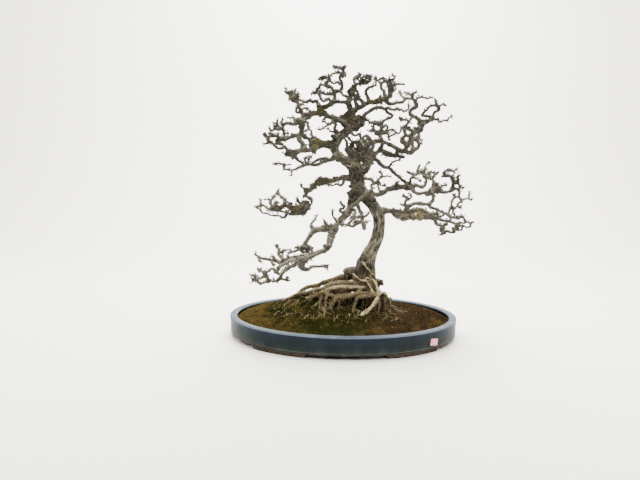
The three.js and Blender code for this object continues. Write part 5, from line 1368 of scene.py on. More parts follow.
@dataclass
class Tree:
    """The wood: trunk, roots and limbs as one skin, branches and twigs as their own.

    Attributes:
        skeleton: Its middle lines.
        thick: Stems at least so thick at their start join the skin of the trunk, in millimetres.
        voxel: How fine that skin is, in millimetres.
        most: Most faces with three corners that the skin keeps.
        bushy: Stems that carry a dense brush of short spurs.
        step: Longest step of the middle lines that all is built from, in millimetres.
        apart: How far apart the bark's patterns on two stems start, in millimetres.
        slim_gain: How much thicker branches are built, since their few corners cut them short.
        twig_gain: The same for spurs, which have fewer corners still.
        tuft_share: How many of a tuft's spurs are grown, 0 to 1.
        seed: Which draw the spurs come from.
    """

    skeleton: Skeleton
    thick: float = 6.0
    voxel: float = 2.1
    most: int = 172000
    bushy: tuple[str, ...] = (" pad", "hump", " low", "lump", "knob")
    step: float = 2.0
    apart: float = 300.0
    slim_gain: float = 1.16
    twig_gain: float = 1.2
    tuft_share: float = 0.94
    seed: int = 20177

    def build(self, bark: Finish) -> None:
        """Build and dress all the wood.

        Args:
            bark: Its finish.
        """
        heavy = [stem for stem in self.skeleton.stems if stem.radii[0] >= self.thick]
        slim = [stem for stem in self.skeleton.stems if stem.radii[0] < self.thick]
        settle(self.limbs(heavy), "bark", bark, "tree")
        settle(self.branches("branches", slim, 3.0, 7), "bark", bark, "tree")
        for name, step, twigs in (("tufts", 5.5, [*self.tufts()]), ("spurs", 4.0, [*self.spurs()])):
            middle = float(np.median([twig.knots[0, 0] for twig in twigs]))
            left = [twig for twig in twigs if twig.knots[0, 0] < middle]
            right = [twig for twig in twigs if twig.knots[0, 0] >= middle]
            settle(self.branches(f"{name}_left", left, step, 4, 1), "bark", bark, "tree")
            settle(self.branches(f"{name}_right", right, step, 4, 1), "bark", bark, "tree")

    def limbs(self, heavy: list[Stem]) -> Piece:
        """Join the trunk, the roots and the thick limbs in one skin with furrowed bark.

        Args:
            heavy: The thick limbs.

        Returns:
            The piece.
        """
        draw = np.random.default_rng(self.seed + 1)
        shell = Shell()
        grown = [stem for limb in heavy for stem in self.stubs(draw, limb, limb.course(self.step))]
        for stem in grown:
            tube(shell, stem.course(self.step), 8, 0.2)
        stems = [self.skeleton.trunk, *self.skeleton.roots, *heavy]
        stems += [knot for limb in (self.skeleton.trunk, *heavy) for knot in self.burls(draw, limb)]
        for across, up, size in KNOTS:
            stems += self.knot(draw, self.skeleton.spot(across, up), size)
        courses = [stem.course(self.step) for stem in stems]
        for stem, course in zip(stems, courses):
            sides = 28 if stem.radii.max() > 14 else 14
            tube(shell, course, sides, 0.08 if stem.name == "trunk" else 0.2, stem.pale)
        piece = shell.build("trunk_and_limbs")
        apply_modifier(piece, "REMESH", mode="VOXEL", voxel_size=self.voxel * MM, use_smooth_shade=True)
        apply_modifier(piece, "SMOOTH", factor=0.5, iterations=1)
        count = sum(len(face.vertices) - 2 for face in piece.data.polygons)
        apply_modifier(piece, "DECIMATE", ratio=min(1.0, self.most / count))
        clean_skins(piece)
        self.carve(piece, courses, [stem.pale for stem in stems])
        return piece

    def stubs(self, draw: Draw, stem: Stem, course: Course) -> Iterable[Stem]:
        """Grow short worn stubs along a thick limb.

        Args:
            draw: Where their chances come from.
            stem: The limb.
            course: Its middle line.

        Yields:
            One stub after another.
        """
        spot = stem.collar + draw.uniform(4, 12)
        while spot < course.run[-1]:
            i = course.step_at(spot)
            side = course.outward(i, draw.uniform(0, math.tau))
            way = unit(side + course.along[i] * draw.uniform(-0.2, 0.7) + (0, 0, draw.uniform(0, 0.5)))
            thick = min(draw.uniform(1.7, 3.2), course.radius[i] * 0.5)
            tip = course.middle[i] + way * (course.radius[i] + draw.uniform(1.5, 6.5))
            bend = draw.normal(size=3) * 0.8
            line = np.array((course.middle[i], (course.middle[i] + tip) / 2 + bend, tip))
            yield Stem("stub", line, np.array((thick * 1.3, thick * 1.1, thick * 0.8)), swell=0.2)
            spot += draw.uniform(7, 20)

    def burls(self, draw: Draw, limb: Stem) -> Iterable[Stem]:
        """Swell a limb here and there with burls.

        Args:
            draw: Where their chances come from.
            limb: The limb.

        Yields:
            One lump after another.
        """
        course = limb.course(self.step)
        trunk = limb.name == "trunk"
        spot = draw.uniform(4, 14)
        while spot < course.run[-1]:
            i = course.step_at(spot)
            side = course.outward(i, draw.uniform(0, math.tau))
            smooth = trunk and course.middle[i, 2] < 400
            size = course.radius[i] * (draw.uniform(0.2, 0.36) if smooth else draw.uniform(0.42, 0.68))
            middle = course.middle[i] + side * course.radius[i] * (0.84 if smooth else 0.72)
            way = unit(course.along[i] + draw.normal(size=3) * 0.5) * size * draw.uniform(0.6, 1.2)
            yield self.lump(middle, way, size)
            spot += course.radius[i] * draw.uniform(0.5, 1.5)

    def knot(self, draw: Draw, middle: Array, size: float) -> Iterable[Stem]:
        """Heap up a knot out of three lumps.

        Args:
            draw: Where their chances come from.
            middle: Where it is.
            size: Its radius.

        Yields:
            One lump after another.
        """
        for _ in range(3):
            way = unit(draw.normal(size=3)) * size * 0.5
            yield self.lump(middle + draw.normal(size=3) * size * 0.32, way, size * draw.uniform(0.6, 0.85))

    @staticmethod
    def lump(middle: Array, way: Array, size: float) -> Stem:
        """Give one rounded lump as a short stem."""
        line = middle + np.outer((-1.0, -0.35, 0.4, 1.0), way)
        return Stem("lump", line, size * np.array((0.45, 0.88, 0.95, 0.5)), swell=0.25)

    def carve(self, piece: Piece, courses: list[Course], pales: list[float]) -> None:
        """Cut furrows along the wood and mark each corner for its finish.

        Args:
            piece: The joined skin.
            courses: The middle lines inside it.
            pales: How pale each of them is.
        """
        middle, along, across, over, radius = (
            np.concatenate([getattr(course, what) for course in courses])
            for what in ("middle", "along", "across", "over", "radius")
        )
        run = np.concatenate([course.run + self.apart * i for i, course in enumerate(courses)])
        pale = np.concatenate([np.full(len(course.run), value) for course, value in zip(courses, pales)])
        skin = corners_of(piece) / MM
        nearest = nearest_line(skin, middle, radius)
        off = skin - middle[nearest]
        grain = np.column_stack((
            (off * across[nearest]).sum(1), (off * over[nearest]).sum(1),
            run[nearest] + (off * along[nearest]).sum(1),
        ))
        girth, bright = radius[nearest], pale[nearest]
        up = as_seen(skin - self.skeleton.shift)[:, 1]
        long = rise(girth, 12.0, 18.0) * rise(up, 430.0, 380.0)
        outward = corners_of(piece, "normal")
        moved = skin + outward * self.furrows(skin, grain, girth, long, bright)[:, None]
        found = covers(moved - self.skeleton.shift, outward[:, 2])
        pile = np.maximum(found["moss"], 0.7 * found["gold"]) * (1.6 + 3.4 * Wander(14).at(moved, 5.0))
        moved = moved + outward * (pile + found["moss"] * 1.4 * Wander(16).at(moved, 2.6))[:, None]
        piece.data.vertices.foreach_set("co", (moved * MM).astype(np.float32).ravel())
        # Painted shade: the black hollow under the trunk, and the dark patches where the skin isn't pale
        hollow_shade = self.hollow(moved - self.skeleton.shift)
        dark = np.maximum(hollow_shade, found["dark"] * np.clip(1.25 - bright, 0.0, 1.0))
        marks = {"grain": grain, "girth": girth, "straight": long, "pale": bright * (1 - hollow_shade), "dark": dark}
        for name, values in (found | marks).items():
            write_mark(piece.data, name, values)
        piece.data.update()

    @staticmethod
    def furrows(skin: Array, grain: Array, girth: Array, long: Array, bright: Array) -> Array:
        """Give the bark's relief: ridges and cracks along the wood, and knobs on roots and thick limbs.

        Args:
            skin: The corners.
            grain: Each corner's place round and along its own stem.
            girth: Radius of the stem there.
            long: How far the furrows are drawn out there, 0 to 1.
            bright: How pale the skin is there.

        Returns:
            One height a corner, in millimetres.
        """
        drawn, curt = grain * (1.0, 1.0, 0.22), grain * (1.0, 1.0, 0.42)
        wide = long * Wander(11).at(drawn, 9.0) + (1 - long) * Wander(11).at(curt, 8.0)
        crack = np.where(long > 0.5, Wander(12).at(drawn, 4.4), Wander(12).at(curt, 4.6))
        age = np.clip((girth - 2.0) / 13.0, 0.15, 1.0)
        cut = (1.9 - 0.9 * long) * np.exp(-((crack / 0.16) ** 2))
        knobbly = rise(bright, 0.0, 0.25) + 0.6 * (1 - long) * rise(girth, 9.0, 17.0)
        knobs = 1.4 * Wander(17).at(skin, 7.0) + 0.8 * Wander(18).at(skin, 3.6)
        return age * (1.3 * wide - cut) + 0.7 * Wander(13).at(grain, 3.4) + knobbly * knobs

    def hollow(self, places: Array) -> Array:
        """Give how much painted shade each place gets in the black hollow under the trunk.

        Args:
            places: The places, in millimetres from the middle of the pot.

        Returns:
            One value a place, 0 to 1.
        """
        seen = as_seen(places)
        near = np.hypot((seen[:, 0] - 68) / 30, (seen[:, 1] - 128) / 26)
        return np.clip(1.5 - near, 0, 1) * rise(places[:, 1], -42, -28)

    def branches(self, name: str, stems: list[Stem], step: float, sides: int, least: int = 2) -> Piece:
        """Build slim wood as swept lengths.

        Args:
            name: The piece's name.
            stems: What it holds.
            step: Longest step along each, in millimetres.
            sides: Corners round each.
            least: Fewest steps from knot to knot.

        Returns:
            The piece.
        """
        shell = Shell()
        gain = self.slim_gain if sides > 5 else self.twig_gain
        for stem in stems:
            course = stem.course(step, least)
            tube(shell, replace(course, radius=course.radius * gain), sides, 0.2)
        corners = np.concatenate(shell.corners) - self.skeleton.shift
        # Moss, lichen, painted light and painted shade on the slim wood
        for mark, values in covers(corners, np.full(len(corners), 0.4)).items():
            shell.marks[mark] = [values]
        return shell.build(name)

    def spurs(self) -> Iterable[Stem]:
        """Grow short knobbly spurs along slim stems, and brushes of them on the pads.

        Yields:
            One spur after another.
        """
        draw = np.random.default_rng(self.seed)
        for stem in self.skeleton.stems:
            brush = any(word in stem.name for word in self.bushy) and stem.radii[0] > 4
            if stem.radii[-1] > 5 and not brush:
                continue
            course = stem.course(self.step)
            length = course.run[-1]
            spot = stem.collar + 2 + draw.uniform(0, 5)
            while spot < length + 2:
                i = course.step_at(spot)
                late = min(spot / length, 1.0)
                if brush:
                    yield from self.spur(draw, course, i, draw.uniform(4, 11), draw.uniform(1.3, 2.0))
                    spot += draw.uniform(2.0, 4.2)
                elif course.radius[i] < 5.4:
                    reach = draw.uniform(3, 9) + 4 * late * draw.random()
                    yield from self.spur(draw, course, i, reach, draw.uniform(1.2, 1.75))
                    spot += draw.uniform(4.5, 11) * (1.2 - 0.55 * late)
                else:
                    spot += 8.0
            for _ in range(3 if stem.radii[-1] < 4 else 0):
                last = len(course.run) - 1
                yield from self.spur(draw, course, last, draw.uniform(3, 8), draw.uniform(1.2, 1.7))

    def tufts(self) -> Iterable[Stem]:
        """Crowd spurs where the crown is dense.

        Yields:
            One spur after another.
        """
        draw = np.random.default_rng(self.seed + 2)
        courses = [stem.course(self.step) for stem in self.skeleton.stems]
        seen = np.concatenate([as_seen(course.middle - self.skeleton.shift) for course in courses])
        steps = [(course, i) for course in courses for i in range(len(course.run))]
        for across, up, wide, high, count, length in TUFTS:
            off = np.hypot((seen[:, 0] - across) / wide, (seen[:, 1] - up) / high)
            near = np.flatnonzero(off < max(1.0, np.partition(off, 8)[8]))
            for pick in draw.choice(near, size=int(count * self.tuft_share)):
                course, i = steps[pick]
                yield from self.spur(draw, course, i, length * draw.uniform(0.6, 1.3), draw.uniform(1.2, 1.9))

    @staticmethod
    def spur(draw: Draw, course: Course, i: int, length: float, thick: float) -> Iterable[Stem]:
        """Grow one spur, now and then forked.

        Args:
            draw: Where its chances come from.
            course: What it grows from.
            i: The step that it leaves at.
            length: How long it is, in millimetres.
            thick: Its radius.

        Yields:
            The spur and its fork.
        """
        side = course.outward(i, draw.uniform(0, math.tau))
        side = unit(side + np.array((0, 0, draw.uniform(0.0, 0.9))))
        way = unit(side + course.along[i] * draw.uniform(0.0, 0.9))
        points = [course.middle[i]]
        start = course.middle[i] + way * course.radius[i] * 0.9
        for _ in range(3):
            points.append(start)
            way = unit(way + draw.normal(size=3) * 0.6 + np.array((0, 0, 0.16)))
            start = start + way * length / 3
        points.append(start)
        radii = np.array((1.3, 1.1, 0.9, 0.95, 0.85)) * thick
        yield Stem("spur", np.array(points), radii, swell=0.34)
        if draw.random() < 0.5:
            fork = unit(way + draw.normal(size=3) * 0.9)
            line = np.array((points[2], points[2] + fork * length * 0.3, points[2] + fork * length * 0.55))
            yield Stem("fork", line, radii[2:] * 0.9, swell=0.34)


def nearest_line(skin: Array, middle: Array, radius: Array) -> Array:
    """Find which point of the middle lines each corner of the skin belongs to.

    Args:
        skin: The corners.
        middle: Points of the middle lines.
        radius: Radius of the wood at each.

    Returns:
        One number a corner, counted along the middle lines.
    """
    best = np.full(len(skin), np.inf)
    nearest = np.zeros(len(skin), dtype=int)
    for thin, thick, wanted in ((0.0, 6.0, 3), (6.0, 11.0, 3), (11.0, 18.0, 2), (18.0, 99.0, 2)):
        chosen = np.flatnonzero((radius >= thin) & (radius < thick))
        finder = kdtree.KDTree(len(chosen))
        for i in chosen:
            finder.insert(middle[i], int(i))
        finder.balance()
        for corner, spot in enumerate(skin):
            for _, i, away in finder.find_n(spot, wanted):
                if away - radius[i] < best[corner]:
                    best[corner] = away - radius[i]
                    nearest[corner] = i
    return nearest


def covers(places: Array, upward: Array) -> dict[str, Array]:
    """Give what lies over the bark at each place, and its painted light and painted shade.

    Args:
        places: The places, in millimetres from the middle of the pot.
        upward: How much the surface faces up there.

    Returns:
        Each cover's strength at every place, 0 to 1, under its name.
    """
    seen = as_seen(places)
    found = {kind.name.lower(): kind.at(seen) for kind in Cover}
    found["moss"] = found["moss"] * np.clip(0.45 + 0.8 * upward, 0, 1)
    return found


@dataclass
class Mound:
    """The soil with its moss.

    Attributes:
        middle: Middle of the pot along X, in millimetres.
        length: Soil's length.
        depth: Soil's depth.
        bottom: Height of its underside.
        edge: Height at the rim.
        rise: How much higher the middle is.
        lean: How much higher the left is.
        ridge: How much higher still the ridge under the tree is.
        steps: Steps across it.
    """

    middle: float
    length: float
    depth: float
    bottom: float
    edge: float = 54.0
    rise: float = 28.0
    lean: float = 5.0
    ridge: float = 36.0
    steps: int = 300

    def height(self, x: Array, y: Array) -> Array:
        """Give the mound's height without its moss, in millimetres.

        Args:
            x: Places across from the pot's middle.
            y: Places back from it.

        Returns:
            One height a place.
        """
        spread = np.hypot(x / 329, y / 239)
        dome = np.maximum(1 - spread**2, 0) ** 0.7
        lean = 1 - self.lean * x / 350 / self.rise
        lumps = 1.6 * np.sin(x / 23 + 1.2) * np.cos(y / 19) + 1.2 * np.sin(x / 41 - y / 29)
        ridge = self.ridge * np.exp(-(((x + 60) / 130) ** 4) - ((y - 18) / 80) ** 2)
        moat = 8 * np.exp(-(((1 - spread) / 0.07) ** 2)) * np.clip(0.45 + y / 220, 0, 1)
        return self.edge + dome * (self.rise * lean + lumps) + ridge - 13 * self.cave(x, y) - moat

    @staticmethod
    def cave(x: Array, y: Array) -> Array:
        """Give how deep in the dips under the roots each place lies, 0 to 1, which also sets their painted
        shade.
        """
        left = np.exp(-(((x + 48) / 27) ** 2) - ((y + 22) / 26) ** 2)
        right = np.exp(-(((x - 66) / 32) ** 2) - ((y + 18) / 30) ** 2)
        return np.maximum(left, right)

    def relief(self, places: Array) -> Array:
        """Give the moss's own relief, in millimetres."""
        cushion = np.abs(Wander(21).at(places, 15.0))
        tuft = np.abs(Wander(22).at(places, 6.0))
        return 4.6 * (0.45 - cushion) + 2.8 * (0.4 - tuft) + 1.5 * Wander(23).at(places, 3.2)

    def ground(self, spots: Array) -> Array:
        """Give the moss's height at spots across and back from the pot's middle, in millimetres."""
        flat = np.column_stack((spots, np.zeros(len(spots))))
        spread = np.hypot(flat[:, 0] / (self.length / 2), flat[:, 1] / (self.depth / 2))
        return self.height(flat[:, 0], flat[:, 1]) + self.relief(flat) * np.clip((1 - spread) / 0.05, 0, 1)

    def surface(self) -> Array:
        """Lay a grid of squares over the oval.

        Returns:
            The top's corners from the pot's middle, in millimetres, row by row.
        """
        line = np.linspace(-1, 1, self.steps)
        u, v = np.meshgrid(line, line, indexing="ij")
        x = u * np.sqrt(1 - v**2 / 2) * self.length / 2
        y = v * np.sqrt(1 - u**2 / 2) * self.depth / 2
        flat = np.column_stack((x.ravel(), y.ravel()))
        return np.column_stack((flat, self.ground(flat)))

    def build(self, finish: Finish) -> Piece:
        """Build and dress the soil.

        Args:
            finish: Its finish.

        Returns:
            The piece.
        """
        top = self.surface()
        n = self.steps
        number = np.arange(n * n).reshape(n, n)
        faces = np.stack((number[:-1, :-1], number[1:, :-1], number[1:, 1:], number[:-1, 1:]), axis=-1)
        border = np.concatenate((number[:-1, 0], number[-1, :-1], number[:0:-1, -1], number[0, :0:-1]))
        rim = top[border]
        rings, around = [], [border]
        for pull, level in ((0.0, self.edge - 12.0), (0.004, self.bottom + 3.0), (0.012, self.bottom)):
            around.append(n * n + len(rim) * len(rings) + np.arange(len(rim)))
            rings.append(np.column_stack((rim[:, :2] * (1 - pull), np.full(len(rim), level))))
        corners = np.vstack((top, *rings)) + (self.middle, 0, 0)
        walls = [
            np.stack((high, low, np.roll(low, -1), np.roll(high, -1)), axis=-1)
            for high, low in zip(around[:-1], around[1:])
        ]
        skin = np.concatenate((faces.reshape(-1, 4), *walls)).tolist()
        shell = Shell()
        # Painted shade in the dips under the roots
        dark = self.cave(corners[:, 0] - self.middle, corners[:, 1])
        shell.add(corners, [*skin, around[-1][::-1].tolist()], dark=dark)
        return settle(shell.build("moss_and_soil"), "soil", finish, "soil")


@dataclass
class Rootlets:
    """Fine roots that creep over the mound from the foot of the tree, and others that hang down to it.

    Attributes:
        mound: What they lie on.
        thick: The thick roots that the hanging ones leave.
        count: How many creep.
        hanging: How many hang.
        seed: Which draw they come from.
    """

    mound: Mound
    thick: list[Stem]
    count: int = 150
    hanging: int = 150
    seed: int = 911

    def build(self, finish: Finish) -> Piece:
        """Build and dress them.

        Args:
            finish: Their finish.

        Returns:
            The piece.
        """
        draw = np.random.default_rng(self.seed)
        shell = Shell()
        for _ in range(self.count):
            course = self.creep(draw)
            tube(shell, course, 5, 0.25, float(draw.uniform(0.15, 0.75)))
        courses = [stem.course(3.0) for stem in self.thick]
        for _ in range(self.hanging):
            course = self.hang(draw, courses[draw.integers(len(courses))])
            tube(shell, course, 5, 0.25, float(draw.choice((0.02, 0.1, 0.5))))
        shell.marks["moss"] = [np.zeros(shell.count)]
        return settle(shell.build("fine_roots"), "bark", finish, "tree")

    def hang(self, draw: Draw, course: Course) -> Course:
        """Lead one root from a thick one down into the mound.

        Args:
            draw: Where its chances come from.
            course: The thick root's middle line.

        Returns:
            Its middle line.
        """
        top = course.middle[draw.integers(len(course.run) // 6, len(course.run))]
        spot = top[:2] - (self.mound.middle, 0) + draw.normal(size=2) * (13, 9)
        foot = np.array((*spot, float(self.mound.ground(spot[None])[0]) - 3)) + (self.mound.middle, 0, 0)
        line = top + (foot - top) * np.linspace(0, 1, 5)[:, None]
        line[1:4] += draw.normal(size=(3, 3)) * (4.0, 4.0, 1.5)
        thick = draw.uniform(1.1, 2.6)
        return Stem("hanging root", line, thick * np.linspace(1.2, 0.8, 5), swell=0.25).course(4.0, 1)

    def creep(self, draw: Draw) -> Course:
        """Lead one fine root downhill over the moss.

        Args:
            draw: Where its chances come from.

        Returns:
            Its middle line.
        """
        spot = np.array((draw.uniform(-200, 165), draw.uniform(-110, 40)))
        way = unit(np.array((spot[0] + 10, (spot[1] - 10) * 2.2 - 60)) + draw.normal(size=2) * 40)
        length = draw.uniform(18, 62)
        steps = max(6, int(length / 3))
        line = []
        for _ in range(steps):
            line.append(spot)
            way = unit(way + draw.normal(size=2) * 0.3)
            spot = spot + way * length / steps
        flat = np.array(line)
        share = np.linspace(0, 1, steps)
        thick = draw.uniform(0.6, 1.5)
        lift = np.sin(share * math.pi * draw.integers(1, 3)) * draw.uniform(0.5, 3.0) + thick * 0.2
        places = np.column_stack((flat, self.mound.ground(flat) + lift))
        places[:, 0] += self.mound.middle
        along = unit(np.gradient(places, axis=0))
        run = share * length
        return Course(places, along, *carried(along), thick * (1 - 0.5 * share), run)


@dataclass
class Grass:
    """A few pale blades that have come up through the moss, and dry straws on it.

    Attributes:
        mound: What they grow from.
        tufts: Where each tuft stands across and back from the pot's middle, and its tallest blade.
        straws: How many dry straws lie about.
        seed: Which draw they come from.
    """

    mound: Mound
    tufts: tuple[tuple[float, float, float], ...] = (
        (30, -128, 34), (34, -124, 24), (4, -130, 16), (-30, -150, 20), (-33, -146, 14), (8, -158, 12),
        (120, -112, 10), (-92, -132, 12), (60, -150, 10), (-60, -118, 12), (-168, -96, 12), (-210, -40, 14),
    )
    straws: int = 420
    seed: int = 515

    def build(self, finish: Finish) -> Piece:
        """Build and dress the blades and straws.

        Args:
            finish: Their finish.

        Returns:
            The piece.
        """
        draw = np.random.default_rng(self.seed)
        shell = Shell()
        for x, y, tall in self.tufts:
            for blade in range(3):
                foot = np.array((x, y)) + draw.normal(size=2) * 1.8
                height = tall * (1.0 if blade == 0 else draw.uniform(0.3, 0.75)) + 2.0
                self.blade(shell, foot, draw.normal(size=2) * 0.3 * height, height, 0.75)
        for _ in range(self.straws):
            turn, out = draw.uniform(0, math.tau), math.sqrt(draw.uniform(0, 0.9))
            foot = np.array((300 * out * math.cos(turn), 212 * out * math.sin(turn)))
            height = draw.uniform(1.5, 5.0)
            self.blade(shell, foot, draw.normal(size=2) * 3.5, height, draw.uniform(0.3, 0.55))
        return settle(shell.build("grass_blades"), "soil", finish)

    def blade(self, shell: Shell, foot: Array, reach: Array, height: float, thick: float) -> None:
        """Add one blade.

        Args:
            shell: What it is added to.
            foot: Where it stands from the pot's middle.
            reach: How far over its tip leans.
            height: How tall it is.
            thick: Its radius at the foot.
        """
        share = np.linspace(0, 1, 5)
        ground = float(self.mound.ground(foot[None])[0]) - 1.5
        line = np.column_stack((
            foot[0] + self.mound.middle + reach[0] * share**2, foot[1] + reach[1] * share**2,
            ground + height * share,
        ))
        along = unit(np.gradient(line, axis=0))
        tube(shell, Course(line, along, *carried(along), thick * (1 - 0.6 * share), share * height), 4, 0.0)


@dataclass
class Pot:
    """The oval pot, raised ring by ring.

    Attributes:
        middle: Its middle along X, in metres.
        length: Outer length.
        depth: Outer depth.
        rim: Height of the rim.
        sides: Corners round the wall.
        foot_near: How far out along X a foot begins.
        foot_far: How far out it ends.
        foot_rows: A foot's section, as inset from the pot's outline and height in millimetres.
        drain: How far out along X each drain hole is.
        hole: Radius of a drain hole.
    """

    middle: float
    length: float
    depth: float
    rim: float
    sides: int = 180
    foot_near: float = 0.108
    foot_far: float = 0.262
    foot_rows: Rows = (
        (5, 0), (3.6, 0.8), (3, 2.2), (3.3, 8.5), (3.1, 13.6), (41, 13.6), (40, 2), (39, 0.6), (38, 0),
    )
    drain: float = 0.15
    hole: float = 0.015

    def section(self) -> list[tuple[float, float]]:
        """Draw the wall's section.

        Returns:
            Inset and height in metres, from the underside up the outside, over the rim and down to the floor.
        """
        top = self.rim / MM
        rows = (
            (12, 9), (8, 9), (5, 9.2), (3.2, 10.4), (2.4, 12), (2, 14), (1.8, 26), (1.5, 38), (1.1, 46),
            (1.1, 51.4), (1.0, 52.6), (0.7, 53.6), (0.2, 54.6), (0, 55.8), (0, 57.4), (0, 59), (0.4, 60.6),
            (1.3, 61.7), (2.8, top), (10, top - 0.3), (17.6, top), (19.8, top - 0.4), (21.4, top - 1.4),
            (22, top - 3), (22, top - 6), (20, top - 8.5), (14.5, top - 12), (13.4, 44), (14.2, 32),
            (15.2, 24), (17, 21), (20, 20),
        )
        return [(inset * MM, height * MM) for inset, height in rows]

    def wall(self) -> Piece:
        """Raise the wall from a ring by extruding and resizing, and close the floor and the underside.

        Returns:
            The piece.
        """
        rows = self.section()
        deselect()
        bpy.ops.mesh.primitive_circle_add(vertices=self.sides, radius=1.0, fill_type="NGON",
                                          location=(self.middle, 0, 0))
        piece = bpy.context.object
        piece.name = "pot_wall"
        bpy.ops.object.transform_apply(location=True, rotation=False, scale=False)
        bpy.ops.object.mode_set(mode="EDIT")
        bpy.ops.mesh.select_mode(type="FACE")
        bpy.ops.mesh.select_all(action="SELECT")
        center = (self.middle, 0, 0)
        size = (1.0, 1.0)
        level = 0.0
        for i, (inset, height) in enumerate(rows):
            reach = (self.length / 2 - inset, self.depth / 2 - inset)
            if i:
                bpy.ops.mesh.extrude_region_move()
            wider = (reach[0] / size[0], reach[1] / size[1], 1)
            bpy.ops.transform.resize(value=wider, center_override=center)
            bpy.ops.transform.translate(value=(0, 0, height - level))
            size, level = reach, height
        bpy.ops.mesh.select_all(action="SELECT")
        bpy.ops.mesh.normals_make_consistent(inside=False)
        bpy.ops.object.mode_set(mode="OBJECT")
        return piece

    def foot_ring(self, side_x: int, side_y: int, share: float) -> list[tuple[float, float, float]]:
        """Give a foot's section at one place along it, in millimetres.

        Args:
            side_x: The end of the pot that the foot is at, -1 or 1.
            side_y: The long side that it is on, -1 or 1.
            share: How far along the foot the section is, 0 to 1.

        Returns:
            The section's corners.
        """
        blunt = max(0.0, (abs(share - 0.5) * 2 - 0.93) / 0.07) ** 2
        x = side_x * (self.foot_near + (self.foot_far - self.foot_near) * share)
        turn = math.acos(x / (self.length / 2 - 0.003)) * side_y
        ring = []
        for inset, height in self.foot_rows:
            pull = 3.0 * blunt if inset < 30 else -3.0 * blunt
            reach_x, reach_y = (size / 2 / MM - inset - pull for size in (self.length, self.depth))
            place_x, place_y = reach_x * math.cos(turn) + self.middle / MM, reach_y * math.sin(turn)
            ring.append((place_x, place_y, height + (1.2 * blunt if height < 1 else 0.0)))
        return ring

    def feet(self) -> Piece:
        """Build the four long low feet that follow the wall.

        Returns:
            The piece.
        """
        shell = Shell()
        count = len(self.foot_rows)
        for side_x, side_y in ((-1, -1), (-1, 1), (1, -1), (1, 1)):
            rings = [self.foot_ring(side_x, side_y, share) for share in np.linspace(0, 1, 27)]
            last = (len(rings) - 1) * count
            faces = ring_walls(len(rings), count)
            faces += [list(range(count))[::-1], list(range(last, last + count))]
            if side_x * side_y < 0:
                faces = [face[::-1] for face in faces]
            shell.add(np.array(rings).reshape(-1, 3), faces)
        return shell.build("pot_feet")

    def build(self, glaze: Finish) -> Piece:
        """Join wall and feet, cut the drain holes and dress the pot.

        Args:
            glaze: Its finish.

        Returns:
            The piece.
        """
        wall = self.wall()
        for side in (-1, 1):
            deselect()
            bpy.ops.mesh.primitive_cylinder_add(vertices=48, radius=self.hole, depth=0.05,
                                                location=(self.middle + side * self.drain, 0, 0.014))
            cutter = bpy.context.object
            apply_modifier(wall, "BOOLEAN", operation="DIFFERENCE", object=cutter, solver="EXACT")
            bpy.data.objects.remove(cutter)
        feet = self.feet()
        deselect()
        feet.select_set(True)
        wall.select_set(True)
        bpy.context.view_layer.objects.active = wall
        bpy.ops.object.join()
        take_up(wall)
        bpy.ops.object.shade_smooth_by_angle(angle=math.radians(38))
        wall.name = "glazed_pot"
        return settle(wall, "glaze", glaze, "pot")


@dataclass
class Screen:
    """A square of plastic mesh over a drain hole.

    Attributes:
        node: The solid that it stands for.
        holes: Holes along a side.
    """

    node: str
    holes: int = 11

    def build(self, finish: Finish) -> Piece:
        """Build and dress the screen.

        Args:
            finish: Its finish.

        Returns:
            The piece.
        """
        low, high = (Vector(corner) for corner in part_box(self.node))
        middle = (low + high) / 2
        thick = high.z - low.z
        deselect()
        bpy.ops.mesh.primitive_grid_add(x_subdivisions=self.holes, y_subdivisions=self.holes,
                                        size=high.x - low.x - thick, location=middle)
        piece = bpy.context.object
        piece.name = f"{self.node}_mesh"
        bpy.ops.object.transform_apply(location=True, rotation=False, scale=False)
        apply_modifier(piece, "WIREFRAME", thickness=thick * 0.8, use_even_offset=False, use_boundary=True)
        apply_modifier(piece, "SUBSURF", levels=1, render_levels=1)
        return settle(piece, "screen", finish, self.node)


class Backdrop(Enum):
    """Tones of what stands round the object."""

    FLOOR = (246, 244, 240)
    SKY = (236, 237, 240)


